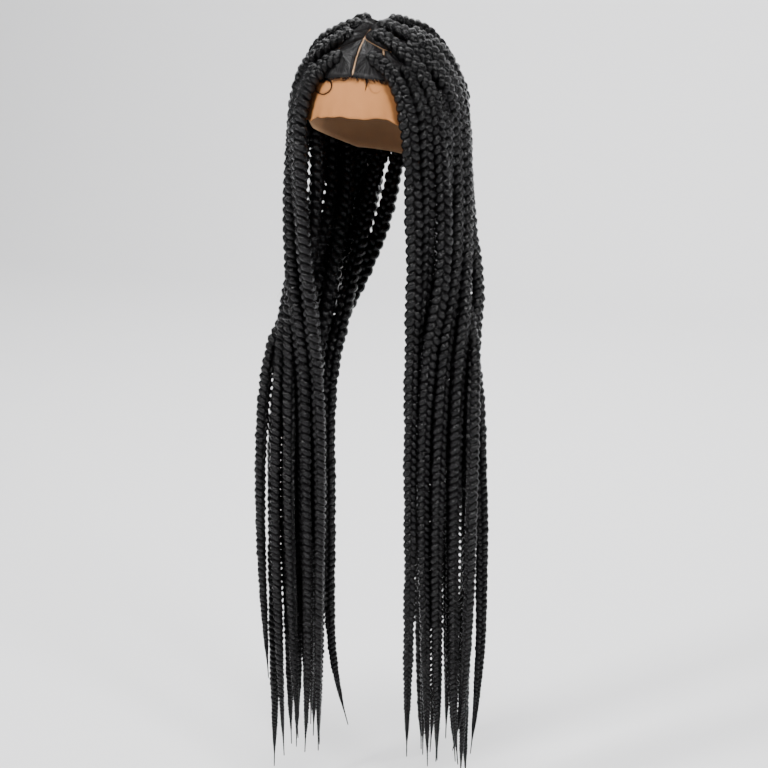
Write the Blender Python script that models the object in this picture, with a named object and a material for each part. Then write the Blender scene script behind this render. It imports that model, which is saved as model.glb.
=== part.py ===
"""A long wig of jumbo box braids on a lace cap, held in its worn shape.

Metres, +Z up. The origin is the crown seat, the inside top of the cap. The face looks along -Y,
and the wearer's left is +X. Each section of hair on the cap is gathered into one braid. A short
way down, where a braid has left the head, its solid is cut, so that what lies on the head and what
hangs are simple solids. All braids are drawn forward in two groups, left and right.
"""

import math

import bmesh
import bpy
import numpy as np

# Head that the cap fits, as the inside of the cap
HEAD_HALF_WIDTH = 0.074
HEAD_FRONT_DEPTH = 0.090
HEAD_BACK_DEPTH = 0.098
CROWN_HEIGHT = 0.095

# Cap, lace and hair lying on the cap
CAP_WALL = 0.0012
LACE_WALL = 0.0010
CLEARANCE = 0.0003
HAIR_THICKNESS = 0.0022
HAIR_EDGE_THICKNESS = 0.0012
HAIR_MOUND = 0.0012
HAIR_MOUND_SPREAD = 0.5
PART_WIDTH = 0.0030
LACE_DEPTH = 0.042

# Braids
BRAID_WIDTH = 0.0165
SOLID_SHARE = 0.90
ROOT_SHARE = 0.34
ROOT_TAPER_SHARE = 0.045
TIP_WIDTH = 0.0034
BRAID_LENGTH = 0.914
FULL_WIDTH_SHARE = 0.30
TAPER_START_SHARE = 0.80
WAIST_SHARE = 0.72
BRAID_GAP = 0.0015

# Heights over the head at which a braid starts in its own section and lies on the others
ROOT_HEIGHT = CAP_WALL + 2 * CLEARANCE
LYING_HEIGHT = CAP_WALL + HAIR_THICKNESS + 2 * CLEARANCE

# Angle from the crown at which a braid leaves the head and hangs. Braids that grow lower than this
# run down a little way first
LEAVING_ANGLE = 92.0
LOW_BRAID_RUN = 4.0

# How high the braids from the crown arch over their own roots, and where on their way down
CROWN_ARCH = 0.009
ARCH_SHARES = (0.0, 0.12, 0.35)
ARCH_HEIGHTS = (0.6, 1.0, 0.0)

# A braid turns to its heading early on its way down the head when this is below 1, and the
# braids over the forehead run along the hairline before they go down
TURN_POWER = 0.6
HAIRLINE_TURN_POWER = 0.12
HEAD_STEPS = 10

# Levels that the hanging braids pass, below the crown seat
NECK_DROP = 0.205
SHOULDER_DROP = 0.300
CHEST_DROP = 0.400

# Half axes of the rings of braids beside the neck
NECK_RINGS = {"side": (0.089, 0.086), "inner": (0.072, 0.070), "outer": (0.090, 0.090)}

# Curtain that the braids of a side form over the chest: columns outward, layers to the back
CURTAIN_INNER = 0.052
CURTAIN_FRONT = 0.045
COLUMN_PITCH = {"left": 0.0172, "right": 0.0163}
LAYER_PITCH = 0.0150

# Gentle waves in the hanging braids, from a share of their length on, and the bend of their tips
WANDER = 0.0025
WANDER_START = 0.35
WANDER_RISE = 0.30
WAVES = (8.5, 7.0)
PHASE_STEP = 2.4
PHASE_RATIO = 2.1
TIP_BEND_START = 0.84

# Edge of the hair and the partings between its rows: the angle down from the crown, in degrees,
# at each heading round the head, where 0 is the front and 180 the back
HEADINGS = (0.0, 30.0, 60.0, 90.0, 135.0, 180.0)
EDGE_ANGLES = (58.5, 61.0, 75.0, 99.0, 116.0, 122.0)
ROW_ANGLES = (
    EDGE_ANGLES,
    (27.0, 38.0, 46.0, 64.0, 80.0, 86.0),
    (16.0, 24.0, 34.0, 41.0, 50.0, 54.0),
    (7.0, 10.0, 14.0, 18.0, 22.0, 24.0),
    (0.0, 0.0, 0.0, 0.0, 0.0, 0.0),
)

# Headings of the partings between the sections of each row, on one side
ROW_HEADINGS = (
    (0.0, 30.0, 60.0, 90.0, 118.0, 148.0, 180.0),
    (0.0, 38.0, 74.0, 108.0, 143.0, 180.0),
    (0.0, 52.0, 110.0, 180.0),
    (0.0, 180.0),
)

# One line for each braid of a side: its row and place in the row, the ring beside the neck and
# its heading there, its column and layer in the curtain, and for the left and the right side its
# length as a share of BRAID_LENGTH and how far its tip swings outward, in millimetres
BRAID_COLUMNS = (
    "row", "place", "ring", "heading", "column", "layer", "left", "right", "left_swing", "right_swing"
)
BRAIDS = tuple(
    dict(zip(BRAID_COLUMNS, line))
    for line in (
        (0, 0, "side", 48.0, 0.0, 0, 0.880, 0.890, 0, 2),
        (0, 1, "side", 58.0, 0.5, 1, 0.848, 0.853, 2, -3),
        (0, 2, "side", 78.0, 1.5, 1, 0.826, 0.784, -3, 4),
        (0, 3, "side", 108.0, 2.6, 1, 0.808, 0.741, 4, -6),
        (0, 4, "inner", 131.0, 1.2, 2, 0.792, 0.776, -5, 3),
        (0, 5, "inner", 152.0, 0.1, 2, 0.797, 0.780, 3, -24),
        (1, 0, "side", 68.0, 1.0, 0, 0.911, 0.915, 2, 3),
        (1, 1, "side", 88.0, 2.0, 0, 0.884, 0.881, -4, -2),
        (1, 2, "side", 118.0, 3.5, 1, 0.908, 0.925, -3, 5),
        (1, 3, "outer", 137.0, 3.0, 2, 0.900, 0.880, 5, -4),
        (1, 4, "inner", 170.0, 1.6, 3, 0.852, 0.874, -2, 2),
        (2, 0, "side", 98.0, 3.0, 0, 0.940, 0.960, 3, -3),
        (2, 1, "side", 128.0, 4.0, 0, 0.930, 0.868, -18, -2),
        (2, 2, "outer", 146.0, 2.6, 3, 0.920, 0.930, 4, 3),
        (3, 0, "outer", 154.0, 4.0, 2, 1.000, 1.000, -10, 2),
    )
)
SIDES = {"left": 1.0, "right": -1.0}

# Level below the crown seat at which a braid is cut in two solids, how near the cut it keeps no
# other ring, and the braids, by row and place, that bend little over the head and stay whole
CUT_DROP = 0.125
CUT_ROOM = 0.018
WHOLE_BRAIDS = ((0, 0), (0, 1), (0, 5), (1, 1), (2, 0))

# How finely the routes are worked out, and how the braids make room for each other: how strongly
# they return to their first routes, straighten, and move apart
ROUTE_POINTS = 76
RELAX_ROUNDS = 140
SETTLE_ROUNDS = 60
RETURN_RATE = 0.015
STRAIGHTEN_RATE = 0.22
PUSH_RATE = 1.3
NEAR_WIDTHS = 2.6
NEAR_ROUNDS = 10

# Where a solid keeps a point of its route: close together on the head and at the tip
SOLID_POINTS = 20
SOLID_STEPS = (0.0, 0.64, 0.88, 1.0)
SOLID_SHARES = (0.0, 0.42, 0.90, 1.0)
TUBE_RESOLUTION = 1
FACET = 0.0125
CAP_COLUMNS = 32
CAP_ROWS = 8
LACE_COLUMNS = 6
LACE_ROWS = 3
LACE_HEADINGS = (0.0, 40.0, 67.5)
LACE_DEPTH_SHARES = (1.0, 0.92, 0.40)
CROWN_CLEAR_ANGLE = 4.0
SMOOTH_ANGLE = 50.0
TINY = 1e-12


def at_heading(values, heading):
    """A value of a table over HEADINGS, at any heading, the same on both sides."""
    return float(np.interp(abs(heading), HEADINGS, values))


def head_half_axes(heading):
    """Half width and half depth of the head's ellipse at a heading."""
    front = math.cos(math.radians(heading)) > 0
    return HEAD_HALF_WIDTH, HEAD_FRONT_DEPTH if front else HEAD_BACK_DEPTH


def on_head(angle, heading, offset=0.0):
    """The point that lies an offset outside the head, at an angle from the crown and a heading."""
    a, h = math.radians(angle), math.radians(heading)
    width, depth = head_half_axes(heading)
    point = np.array(
        [
            width * math.sin(a) * math.sin(h),
            -depth * math.sin(a) * math.cos(h),
            -CROWN_HEIGHT + CROWN_HEIGHT * math.cos(a),
        ]
    )
    normal = np.array(
        [
            math.sin(a) * math.sin(h) / width,
            -math.sin(a) * math.cos(h) / depth,
            math.cos(a) / CROWN_HEIGHT,
        ]
    )
    return point + offset * normal / np.linalg.norm(normal)


def head_normals(points):
    """For each point, the head's outward direction there and its height over the head."""
    depth = np.where(points[:, 1] < 0, HEAD_FRONT_DEPTH, HEAD_BACK_DEPTH)
    axes = np.stack([np.full_like(depth, HEAD_HALF_WIDTH), depth, np.full_like(depth, CROWN_HEIGHT)], 1)
    local = points + np.array([0.0, 0.0, CROWN_HEIGHT])
    scaled = local / axes
    reach = np.linalg.norm(scaled, axis=1)
    gradient = scaled / axes
    steepness = np.linalg.norm(gradient, axis=1)
    return gradient / steepness[:, None], reach * (reach - 1.0) / steepness


def width_at(share):
    """A braid's width at a share of its length from the root."""
    shares = (0.0, ROOT_TAPER_SHARE, FULL_WIDTH_SHARE, TAPER_START_SHARE, 1.0)
    widths = (ROOT_SHARE * BRAID_WIDTH, BRAID_WIDTH, BRAID_WIDTH, WAIST_SHARE * BRAID_WIDTH, TIP_WIDTH)
    return np.interp(share, shares, widths)


def section_bounds(braid):
    """Headings where a braid's section starts and ends in its row."""
    headings = ROW_HEADINGS[braid["row"]]
    return headings[braid["place"]], headings[braid["place"] + 1]


def section_centre(braid):
    """Angle from the crown and heading of the middle of a braid's section."""
    start, end = section_bounds(braid)
    heading = (start + end) / 2
    low = at_heading(ROW_ANGLES[braid["row"]], heading)
    high = at_heading(ROW_ANGLES[braid["row"] + 1], heading)
    return (low + high) / 2, heading


def first_route(braid, side_name):
    """A braid's route before the braids make room for each other, as evenly spaced points."""
    angle, heading = section_centre(braid)
    lying = LYING_HEIGHT + BRAID_WIDTH / 2
    leaving = max(LEAVING_ANGLE, angle + LOW_BRAID_RUN)
    turn_power = HAIRLINE_TURN_POWER if (braid["row"], braid["place"]) == (0, 0) else TURN_POWER
    points = [on_head(angle, heading, ROOT_HEIGHT + float(width_at(0.0)) / 2)]
    for step in range(1, HEAD_STEPS + 1):
        share = step / HEAD_STEPS
        here = angle + (leaving - angle) * share
        turn = heading + (braid["heading"] - heading) * share**turn_power
        above = lying
        if braid["row"] == len(ROW_HEADINGS) - 1:
            above += CROWN_ARCH * float(np.interp(share, ARCH_SHARES, ARCH_HEIGHTS))
        points.append(on_head(here, turn, above))
    half_width, half_depth = NECK_RINGS[braid["ring"]]
    turn = math.radians(braid["heading"])
    neck = np.array([half_width * math.sin(turn), -half_depth * math.cos(turn), -NECK_DROP])
    chest = np.array(
        [
            CURTAIN_INNER + COLUMN_PITCH[side_name] * braid["column"],
            -CURTAIN_FRONT + LAYER_PITCH * braid["layer"],
            -CHEST_DROP,
        ]
    )
    shoulder = (neck + chest) / 2
    shoulder[2] = -SHOULDER_DROP
    end = chest + np.array([0.0, 0.0, CHEST_DROP - 1.2 * BRAID_LENGTH])
    points = np.array([*points, neck, shoulder, chest, (chest + end) / 2, end])
    route = evenly_spaced(smooth_line(points), BRAID_LENGTH * braid[side_name], ROUTE_POINTS)
    share = np.linspace(0.0, 1.0, ROUTE_POINTS)
    phase = PHASE_STEP * (2 * BRAIDS.index(braid) + (side_name == "left"))
    wander = WANDER * np.clip((share - WANDER_START) / WANDER_RISE, 0.0, 1.0)
    near_tip = np.clip((share - TIP_BEND_START) / (1.0 - TIP_BEND_START), 0.0, 1.0)
    swing = braid[side_name + "_swing"] / 1000.0
    route[:, 0] += wander * np.sin(WAVES[0] * share + phase) + swing * near_tip**2
    route[:, 1] += wander * np.sin(WAVES[1] * share + PHASE_RATIO * phase)
    route[:, 0] *= SIDES[side_name]
    return route


def smooth_line(points, steps=12):
    """Points of a smooth curve through the given ones."""
    ends = np.vstack([2 * points[0] - points[1], points, 2 * points[-1] - points[-2]])
    line = []
    for a, b, c, d in zip(ends[:-3], ends[1:-2], ends[2:-1], ends[3:]):
        for t in np.linspace(0.0, 1.0, steps, endpoint=False):
            bend, turn = 2 * a - 5 * b + 4 * c - d, 3 * b - a - 3 * c + d
            line.append((2 * b + (c - a) * t + bend * t**2 + turn * t**3) / 2)
    line.append(points[-1])
    return np.array(line)


def evenly_spaced(line, length, count):
    """The first stretch of a line, of a given length, as evenly spaced points."""
    along = np.concatenate([[0.0], np.cumsum(np.linalg.norm(np.diff(line, axis=0), axis=1))])
    wanted = np.linspace(0.0, min(length, along[-1]), count)
    return np.stack([np.interp(wanted, along, line[:, axis]) for axis in range(3)], 1)


def closest_shares(a0, a1, b0, b1):
    """Shares along many pairs of short pieces, a0 to a1 and b0 to b1, where each pair is closest."""
    u, v, w = a1 - a0, b1 - b0, a0 - b0
    uu, uv, vv = (u * u).sum(1), (u * v).sum(1), (v * v).sum(1)
    uw, vw = (u * w).sum(1), (v * w).sum(1)
    spread = np.maximum(uu * vv - uv * uv, TINY)
    s = np.clip((uv * vw - vv * uw) / spread, 0.0, 1.0)
    t = np.clip((uv * s + vw) / np.maximum(vv, TINY), 0.0, 1.0)
    s = np.clip((uv * t - uw) / np.maximum(uu, TINY), 0.0, 1.0)
    return s, t


def near_pairs(points, owner, reach):
    """Index pairs of route pieces of different braids whose middles lie within reach."""
    middles = (points[:, :-1] + points[:, 1:]).reshape(-1, 3) / 2
    order = np.argsort(middles[:, 2], kind="stable")
    heights = middles[order, 2]
    first, second = [], []
    for i, index in enumerate(order):
        last = np.searchsorted(heights, heights[i] + reach, side="right")
        others = order[i + 1 : last]
        close = ((middles[others] - middles[index]) ** 2).sum(1) < reach * reach
        others = others[close & (owner[others] != owner[index])]
        first.append(np.full(len(others), index))
        second.append(others)
    return np.concatenate(first), np.concatenate(second)


def make_room(points, radii):
    """Moves the routes apart until no two braids overlap and none lies in the head."""
    braids, count, _ = points.shape
    pieces = count - 1
    owner = np.repeat(np.arange(braids), pieces)
    start = np.arange(braids * pieces) + owner
    wanted = points.copy()
    # The root stays put, and the stretch beside it gives way slowly
    freedom = np.clip((np.arange(count) - 0.5) / 2.5, 0.0, 1.0)
    freedom = np.tile(freedom, braids)[:, None]
    floor = np.full(count, LYING_HEIGHT)
    floor[0] = ROOT_HEIGHT
    floor = np.tile(floor, braids)
    reach = NEAR_WIDTHS * BRAID_WIDTH
    for turn in range(RELAX_ROUNDS + SETTLE_ROUNDS):
        if turn % NEAR_ROUNDS == 0:
            first, second = near_pairs(points, owner, reach)
        if turn < RELAX_ROUNDS:
            points[:, 1:] += RETURN_RATE * (wanted[:, 1:] - points[:, 1:])
            bend = points[:, :-2] + points[:, 2:] - 2 * points[:, 1:-1]
            points[:, 1:-1] += STRAIGHTEN_RATE * bend
            points[:, 0] = wanted[:, 0]
        flat, flat_radii = points.reshape(-1, 3), radii.reshape(-1)
        i, j = start[first], start[second]
        s, t = closest_shares(flat[i], flat[i + 1], flat[j], flat[j + 1])
        s, t = s[:, None], t[:, None]
        apart = flat[i] * (1 - s) + flat[i + 1] * s - flat[j] * (1 - t) - flat[j + 1] * t
        distance = np.maximum(np.linalg.norm(apart, axis=1), TINY)
        needed = flat_radii[i] + flat_radii[j] + BRAID_GAP
        push = np.maximum(needed - distance, 0.0)[:, None] * apart / distance[:, None] * 0.5
        moves, weights = np.zeros_like(flat), np.full((len(flat), 1), TINY)
        for index, share, way in ((i, 1 - s, 1), (i + 1, s, 1), (j, 1 - t, -1), (j + 1, t, -1)):
            np.add.at(moves, index, way * push * share)
            np.add.at(weights, index, (np.abs(push).sum(1, keepdims=True) > 0) * share)
        flat += moves / np.maximum(weights, 1.0) * PUSH_RATE * freedom
        outward, height = head_normals(flat)
        sunk = np.maximum(floor + flat_radii - height, 0.0)[:, None]
        flat += sunk * outward * freedom
    return points


def braid_routes():
    """The route of each braid and its radius along it, for both sides at once."""
    keys = [(name, number) for name in SIDES for number in range(len(BRAIDS))]
    points = np.array([first_route(BRAIDS[number], name) for name, number in keys])
    shares = np.linspace(0.0, 1.0, ROUTE_POINTS)
    radii = np.tile(width_at(shares) / 2, (len(keys), 1))
    points = make_room(points, radii)
    return {key: (points[k], radii[k]) for k, key in enumerate(keys)}


def solid_shares():
    """Shares along a braid where its solid has a ring: close on the head and at the tip."""
    steps = np.linspace(0.0, 1.0, SOLID_POINTS - 1)
    shares = np.interp(steps, SOLID_STEPS, SOLID_SHARES)
    return np.insert(shares, 1, shares[1] / 2)


def cut_shares(route, length):
    """Shares where the rings of a braid's two solids are, cut in the middle of a piece of its route."""
    middles = (route[:-1, 2] + route[1:, 2]) / 2
    piece = int(np.argmax(middles < -CUT_DROP))
    near, cut, far = (np.array([piece, piece + 0.5, piece + 1]) / (ROUTE_POINTS - 1)).tolist()
    half_gap = CLEARANCE / 2 / length
    shares = solid_shares()
    upper = [*shares[shares < cut - CUT_ROOM], (near + cut) / 2, cut - half_gap]
    lower = [cut + half_gap, (cut + far) / 2, *shares[shares > cut + CUT_ROOM]]
    return upper, lower


def add_mesh(name, vertices, faces, collection, material):
    """A new object from vertices and faces, with its normals facing out."""
    mesh = bpy.data.meshes.new(name)
    mesh.from_pydata([tuple(v) for v in vertices], [], faces)
    work = bmesh.new()
    work.from_mesh(mesh)
    bmesh.ops.remove_doubles(work, verts=work.verts, dist=1e-7)
    bmesh.ops.recalc_face_normals(work, faces=work.faces)
    work.to_mesh(mesh)
    work.free()
    mesh.materials.append(material)
    obj = bpy.data.objects.new(name, mesh)
    collection.objects.link(obj)
    return obj


def shell_between(inner, outer):
    """Vertices and faces of a closed wall from two like grids of points, inner and outer."""
    rows, columns, _ = inner.shape
    vertices = np.concatenate([inner.reshape(-1, 3), outer.reshape(-1, 3)])
    size = rows * columns
    faces = []
    for r in range(rows - 1):
        for c in range(columns - 1):
            a, b = r * columns + c, r * columns + c + 1
            faces.append((a, b, b + columns, a + columns))
            faces.append((size + a, size + a + columns, size + b + columns, size + b))
    top = [c for c in range(columns)]
    right = [r * columns + columns - 1 for r in range(rows)]
    bottom = [(rows - 1) * columns + c for c in reversed(range(columns))]
    left = [r * columns for r in reversed(range(rows))]
    for rim in (top, right, bottom, left):
        for a, b in zip(rim[:-1], rim[1:]):
            faces.append((a, size + a, size + b, b))
    return vertices, faces


def add_cap(collection, material):
    """The lace cap, a dome from the crown to the hairline, the ears and the nape, in four panels."""
    names = ("back_right", "front_right", "front_left", "back_left")
    columns = CAP_COLUMNS // len(names)
    for number, name in enumerate(names):
        headings = np.arange(number * columns, (number + 1) * columns + 1) * 360.0 / CAP_COLUMNS - 180.0
        middle = on_head(90.0, float(headings.mean()))
        quarter = np.sign(middle[:2])
        inner, outer = [], []
        for share in np.linspace(0.0, 1.0, CAP_ROWS + 1):
            inner.append([cap_point(h, share, 0.0, quarter) for h in headings])
            outer.append([cap_point(h, share, CAP_WALL, quarter) for h in headings])
        vertices, faces = shell_between(np.array(inner), np.array(outer))
        add_mesh("lace_cap_" + name, vertices, faces, collection, material)


def cap_point(heading, share, offset, quarter):
    """A point of a cap panel, clear of the upright planes where the panels meet."""
    point = on_head(share * at_heading(EDGE_ANGLES, heading), heading, offset)
    point[:2] = quarter * np.maximum(quarter * point[:2], CLEARANCE / 2)
    return point


def lace_depth_at(heading):
    """How far the forehead lace reaches below the hairline: full in front, less at the temples."""
    return LACE_DEPTH * float(np.interp(abs(heading), LACE_HEADINGS, LACE_DEPTH_SHARES))


def add_lace_front(collection, material):
    """The untrimmed lace that lies on the forehead below the hairline."""
    headings = np.arange(-LACE_COLUMNS, LACE_COLUMNS + 1) * 360.0 / CAP_COLUMNS
    degrees_per_metre = 180.0 / (math.pi * (HEAD_FRONT_DEPTH + CROWN_HEIGHT) / 2)
    seam = CLEARANCE * degrees_per_metre
    inner, outer = [], []
    for share in np.linspace(0.0, 1.0, LACE_ROWS + 1):
        for grid, offset in ((inner, 0.0), (outer, LACE_WALL)):
            line = []
            for h in headings:
                top = at_heading(EDGE_ANGLES, h) + seam
                line.append(on_head(top + share * lace_depth_at(h) * degrees_per_metre, h, offset))
            grid.append(line)
    vertices, faces = shell_between(np.array(inner), np.array(outer))
    return add_mesh("lace_front", vertices, faces, collection, material)


def section_steps(braid):
    """How many facets a section needs across and up, so that it follows the round cap."""
    start, end = section_bounds(braid)
    low = at_heading(ROW_ANGLES[braid["row"]], (start + end) / 2)
    high = at_heading(ROW_ANGLES[braid["row"] + 1], (start + end) / 2)
    radius = (HEAD_HALF_WIDTH + HEAD_FRONT_DEPTH) / 2
    across = math.radians(end - start) * radius * math.sin(math.radians(min(low, 90.0)))
    upward = math.radians(low - high) * CROWN_HEIGHT
    return max(3, math.ceil(across / FACET)), max(3, math.ceil(upward / FACET))


def section_grid(braid, side):
    """Inner and outer points of the hair that lies on one section of the cap."""
    start, end = section_bounds(braid)
    row = braid["row"]
    across, upward = section_steps(braid)
    centre_angle, centre_heading = section_centre(braid)
    centre = on_head(centre_angle, centre_heading)
    half_part = PART_WIDTH / 2
    floor = CAP_WALL + CLEARANCE
    inner, outer = [], []
    for up in range(upward + 1):
        inner_line, outer_line = [], []
        for over in range(across + 1):
            heading, angle = section_point(row, start, end, over / across, up / upward, half_part)
            edge = up in (0, upward) or over in (0, across)
            away = np.linalg.norm(on_head(angle, heading) - centre)
            mound = HAIR_MOUND * math.exp(-((away / (HAIR_MOUND_SPREAD * BRAID_WIDTH)) ** 2))
            thickness = HAIR_EDGE_THICKNESS if edge else HAIR_THICKNESS - CLEARANCE + mound
            inner_line.append(on_head(angle, heading, floor))
            outer_line.append(on_head(angle, heading, floor + thickness))
        inner.append(inner_line)
        outer.append(outer_line)
    mirror = np.array([side, 1.0, 1.0])
    return np.array(inner) * mirror, np.array(outer) * mirror


def section_point(row, start, end, u, v, half_part):
    """Heading and angle of a place in a section: u from start to end, v from its edge to the crown."""
    raw = start + (end - start) * u
    low, high = at_heading(ROW_ANGLES[row], raw), at_heading(ROW_ANGLES[row + 1], raw)
    degree = math.pi / 180.0
    margin = half_part / (degree * CROWN_HEIGHT)
    low_margin = CLEARANCE / (degree * CROWN_HEIGHT) if row == 0 else margin
    bottom, top = low - low_margin, high + max(margin, CROWN_CLEAR_ANGLE - high)
    angle = bottom + (top - bottom) * v
    girth = degree * (HEAD_HALF_WIDTH + HEAD_FRONT_DEPTH) / 2 * math.sin(math.radians(angle))
    side_margin = half_part / girth
    return np.clip(raw, start + side_margin, end - side_margin), angle


def add_braid(label, braid, side, route, radii, collection, material):
    """One section of hair and the braid that it is gathered into, in one or two solids."""
    vertices, faces = shell_between(*section_grid(braid, side))
    length = float(np.linalg.norm(np.diff(route, axis=0), axis=1).sum())
    if (braid["row"], braid["place"]) in WHOLE_BRAIDS:
        section = add_mesh("braid_" + label, vertices, faces, collection, material)
        lying = add_tube("lying_" + label, route, radii, solid_shares(), collection)
    else:
        upper, lower = cut_shares(route, length)
        section = add_mesh("hair_" + label, vertices, faces, collection, material)
        lying = add_tube("lying_" + label, route, radii, upper, collection)
        hanging = add_tube("braid_" + label, route, radii, lower, collection)
        hanging.data.materials.append(material)
        smooth(hanging)
    union = section.modifiers.new("gather", "BOOLEAN")
    union.operation = "UNION"
    union.object = lying
    graph = bpy.context.evaluated_depsgraph_get()
    joined = bpy.data.meshes.new_from_object(section.evaluated_get(graph))
    section.modifiers.clear()
    section.data = joined
    section.data.name = section.name
    bpy.data.objects.remove(lying)
    smooth(section)


def smooth(obj):
    """Shades an object smooth, apart from its sharp edges."""
    obj.data.shade_smooth()
    obj.data.set_sharp_from_angle(angle=math.radians(SMOOTH_ANGLE))


def add_tube(name, route, radii, shares, collection):
    """A stretch of a braid's plain outer form as a closed mesh, from a curve with filled caps."""
    curve = bpy.data.curves.new(name, "CURVE")
    curve.dimensions = "3D"
    curve.bevel_depth = 1.0
    curve.bevel_resolution = TUBE_RESOLUTION
    curve.use_fill_caps = True
    spline = curve.splines.new("POLY")
    spline.points.add(len(shares) - 1)
    place = np.linspace(0.0, 1.0, len(route))
    for point, share in zip(spline.points, shares):
        position = [np.interp(share, place, route[:, axis]) for axis in range(3)]
        point.co = (*position, 1.0)
        point.radius = SOLID_SHARE * float(np.interp(share, place, radii))
    guide = bpy.data.objects.new(name, curve)
    collection.objects.link(guide)
    graph = bpy.context.evaluated_depsgraph_get()
    mesh = bpy.data.meshes.new_from_object(guide.evaluated_get(graph))
    work = bmesh.new()
    work.from_mesh(mesh)
    bmesh.ops.remove_doubles(work, verts=work.verts, dist=1e-6)
    bmesh.ops.recalc_face_normals(work, faces=work.faces)
    work.to_mesh(mesh)
    work.free()
    bpy.data.objects.remove(guide)
    tube = bpy.data.objects.new(name, mesh)
    collection.objects.link(tube)
    return tube


def add_material(name, colour, roughness):
    """A plain material for one kind of piece."""
    material = bpy.data.materials.new(name)
    material.use_nodes = True
    shader = material.node_tree.nodes["Principled BSDF"]
    shader.inputs["Base Color"].default_value = (*colour, 1.0)
    shader.inputs["Roughness"].default_value = roughness
    shader.inputs["Metallic"].default_value = 0.0
    return material


def new_collection(name):
    """A new collection in the scene."""
    collection = bpy.data.collections.new(name)
    bpy.context.scene.collection.children.link(collection)
    return collection


def main():
    """Clears the scene and builds the wig."""
    for obj in list(bpy.data.objects):
        bpy.data.objects.remove(obj)
    wig = new_collection("braid_wig")
    lace = add_material("cap_lace", (0.42, 0.27, 0.17), 0.85)
    front_lace = add_material("forehead_lace", (0.60, 0.40, 0.26), 0.80)
    hair = add_material("braid_hair", (0.012, 0.011, 0.012), 0.42)
    add_cap(wig, lace)
    add_lace_front(wig, front_lace)
    for (side_name, number), (route, radii) in braid_routes().items():
        label = f"{side_name}_{number + 1:02d}"
        add_braid(label, BRAIDS[number], SIDES[side_name], route, radii, wig, hair)


main()
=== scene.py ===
"""Looks for a long wig of jumbo box braids on a lace cap.

Metres, +Z up. The origin is the crown seat, the inside top of the cap. The face looks along -Y,
and the wearer's left is +X. The braids follow the same routes as the solids that they replace.
"""

import logging
import math
from dataclasses import dataclass, field
from enum import Enum

import bpy
import numpy as np
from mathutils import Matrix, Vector


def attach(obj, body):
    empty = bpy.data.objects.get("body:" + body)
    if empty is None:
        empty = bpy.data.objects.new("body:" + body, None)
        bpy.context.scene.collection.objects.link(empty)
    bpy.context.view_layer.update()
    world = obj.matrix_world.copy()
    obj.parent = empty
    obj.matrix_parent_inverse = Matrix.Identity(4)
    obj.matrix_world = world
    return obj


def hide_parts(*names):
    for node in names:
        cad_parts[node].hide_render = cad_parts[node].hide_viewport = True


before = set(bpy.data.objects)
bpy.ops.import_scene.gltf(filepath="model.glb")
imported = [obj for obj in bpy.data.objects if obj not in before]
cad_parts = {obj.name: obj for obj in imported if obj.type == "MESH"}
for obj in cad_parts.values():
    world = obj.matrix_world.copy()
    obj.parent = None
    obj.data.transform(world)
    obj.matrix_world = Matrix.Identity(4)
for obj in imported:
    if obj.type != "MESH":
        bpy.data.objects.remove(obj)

LOG = logging.getLogger("braid_wig")
BODY = "root"

# How far apart the texture places of two pieces, and of two strands of a plait, start
PIECE_STEP = 1.7
STRAND_STEP = 0.37

# Single hairs: their sides, a direction that hardly any of them follows, how much they thin out
# and the length of texture that they take
HAIR_SIDES = 3
HAIR_SIDE = (0.31, 0.22, 0.93)
HAIR_TAPER = 0.8
HAIR_PLACE = 0.01


class Side(Enum):
    """The two sides of the wig, as the wearer has them."""

    LEFT = 1.0
    RIGHT = -1.0

    @property
    def label(self) -> str:
        """The side's name as the nodes have it."""
        return self.name.lower()


class Ring(Enum):
    """Rings of braids beside the neck, with their half width and half depth."""

    SIDE = (0.089, 0.086)
    INNER = (0.072, 0.070)
    OUTER = (0.090, 0.090)


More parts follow.
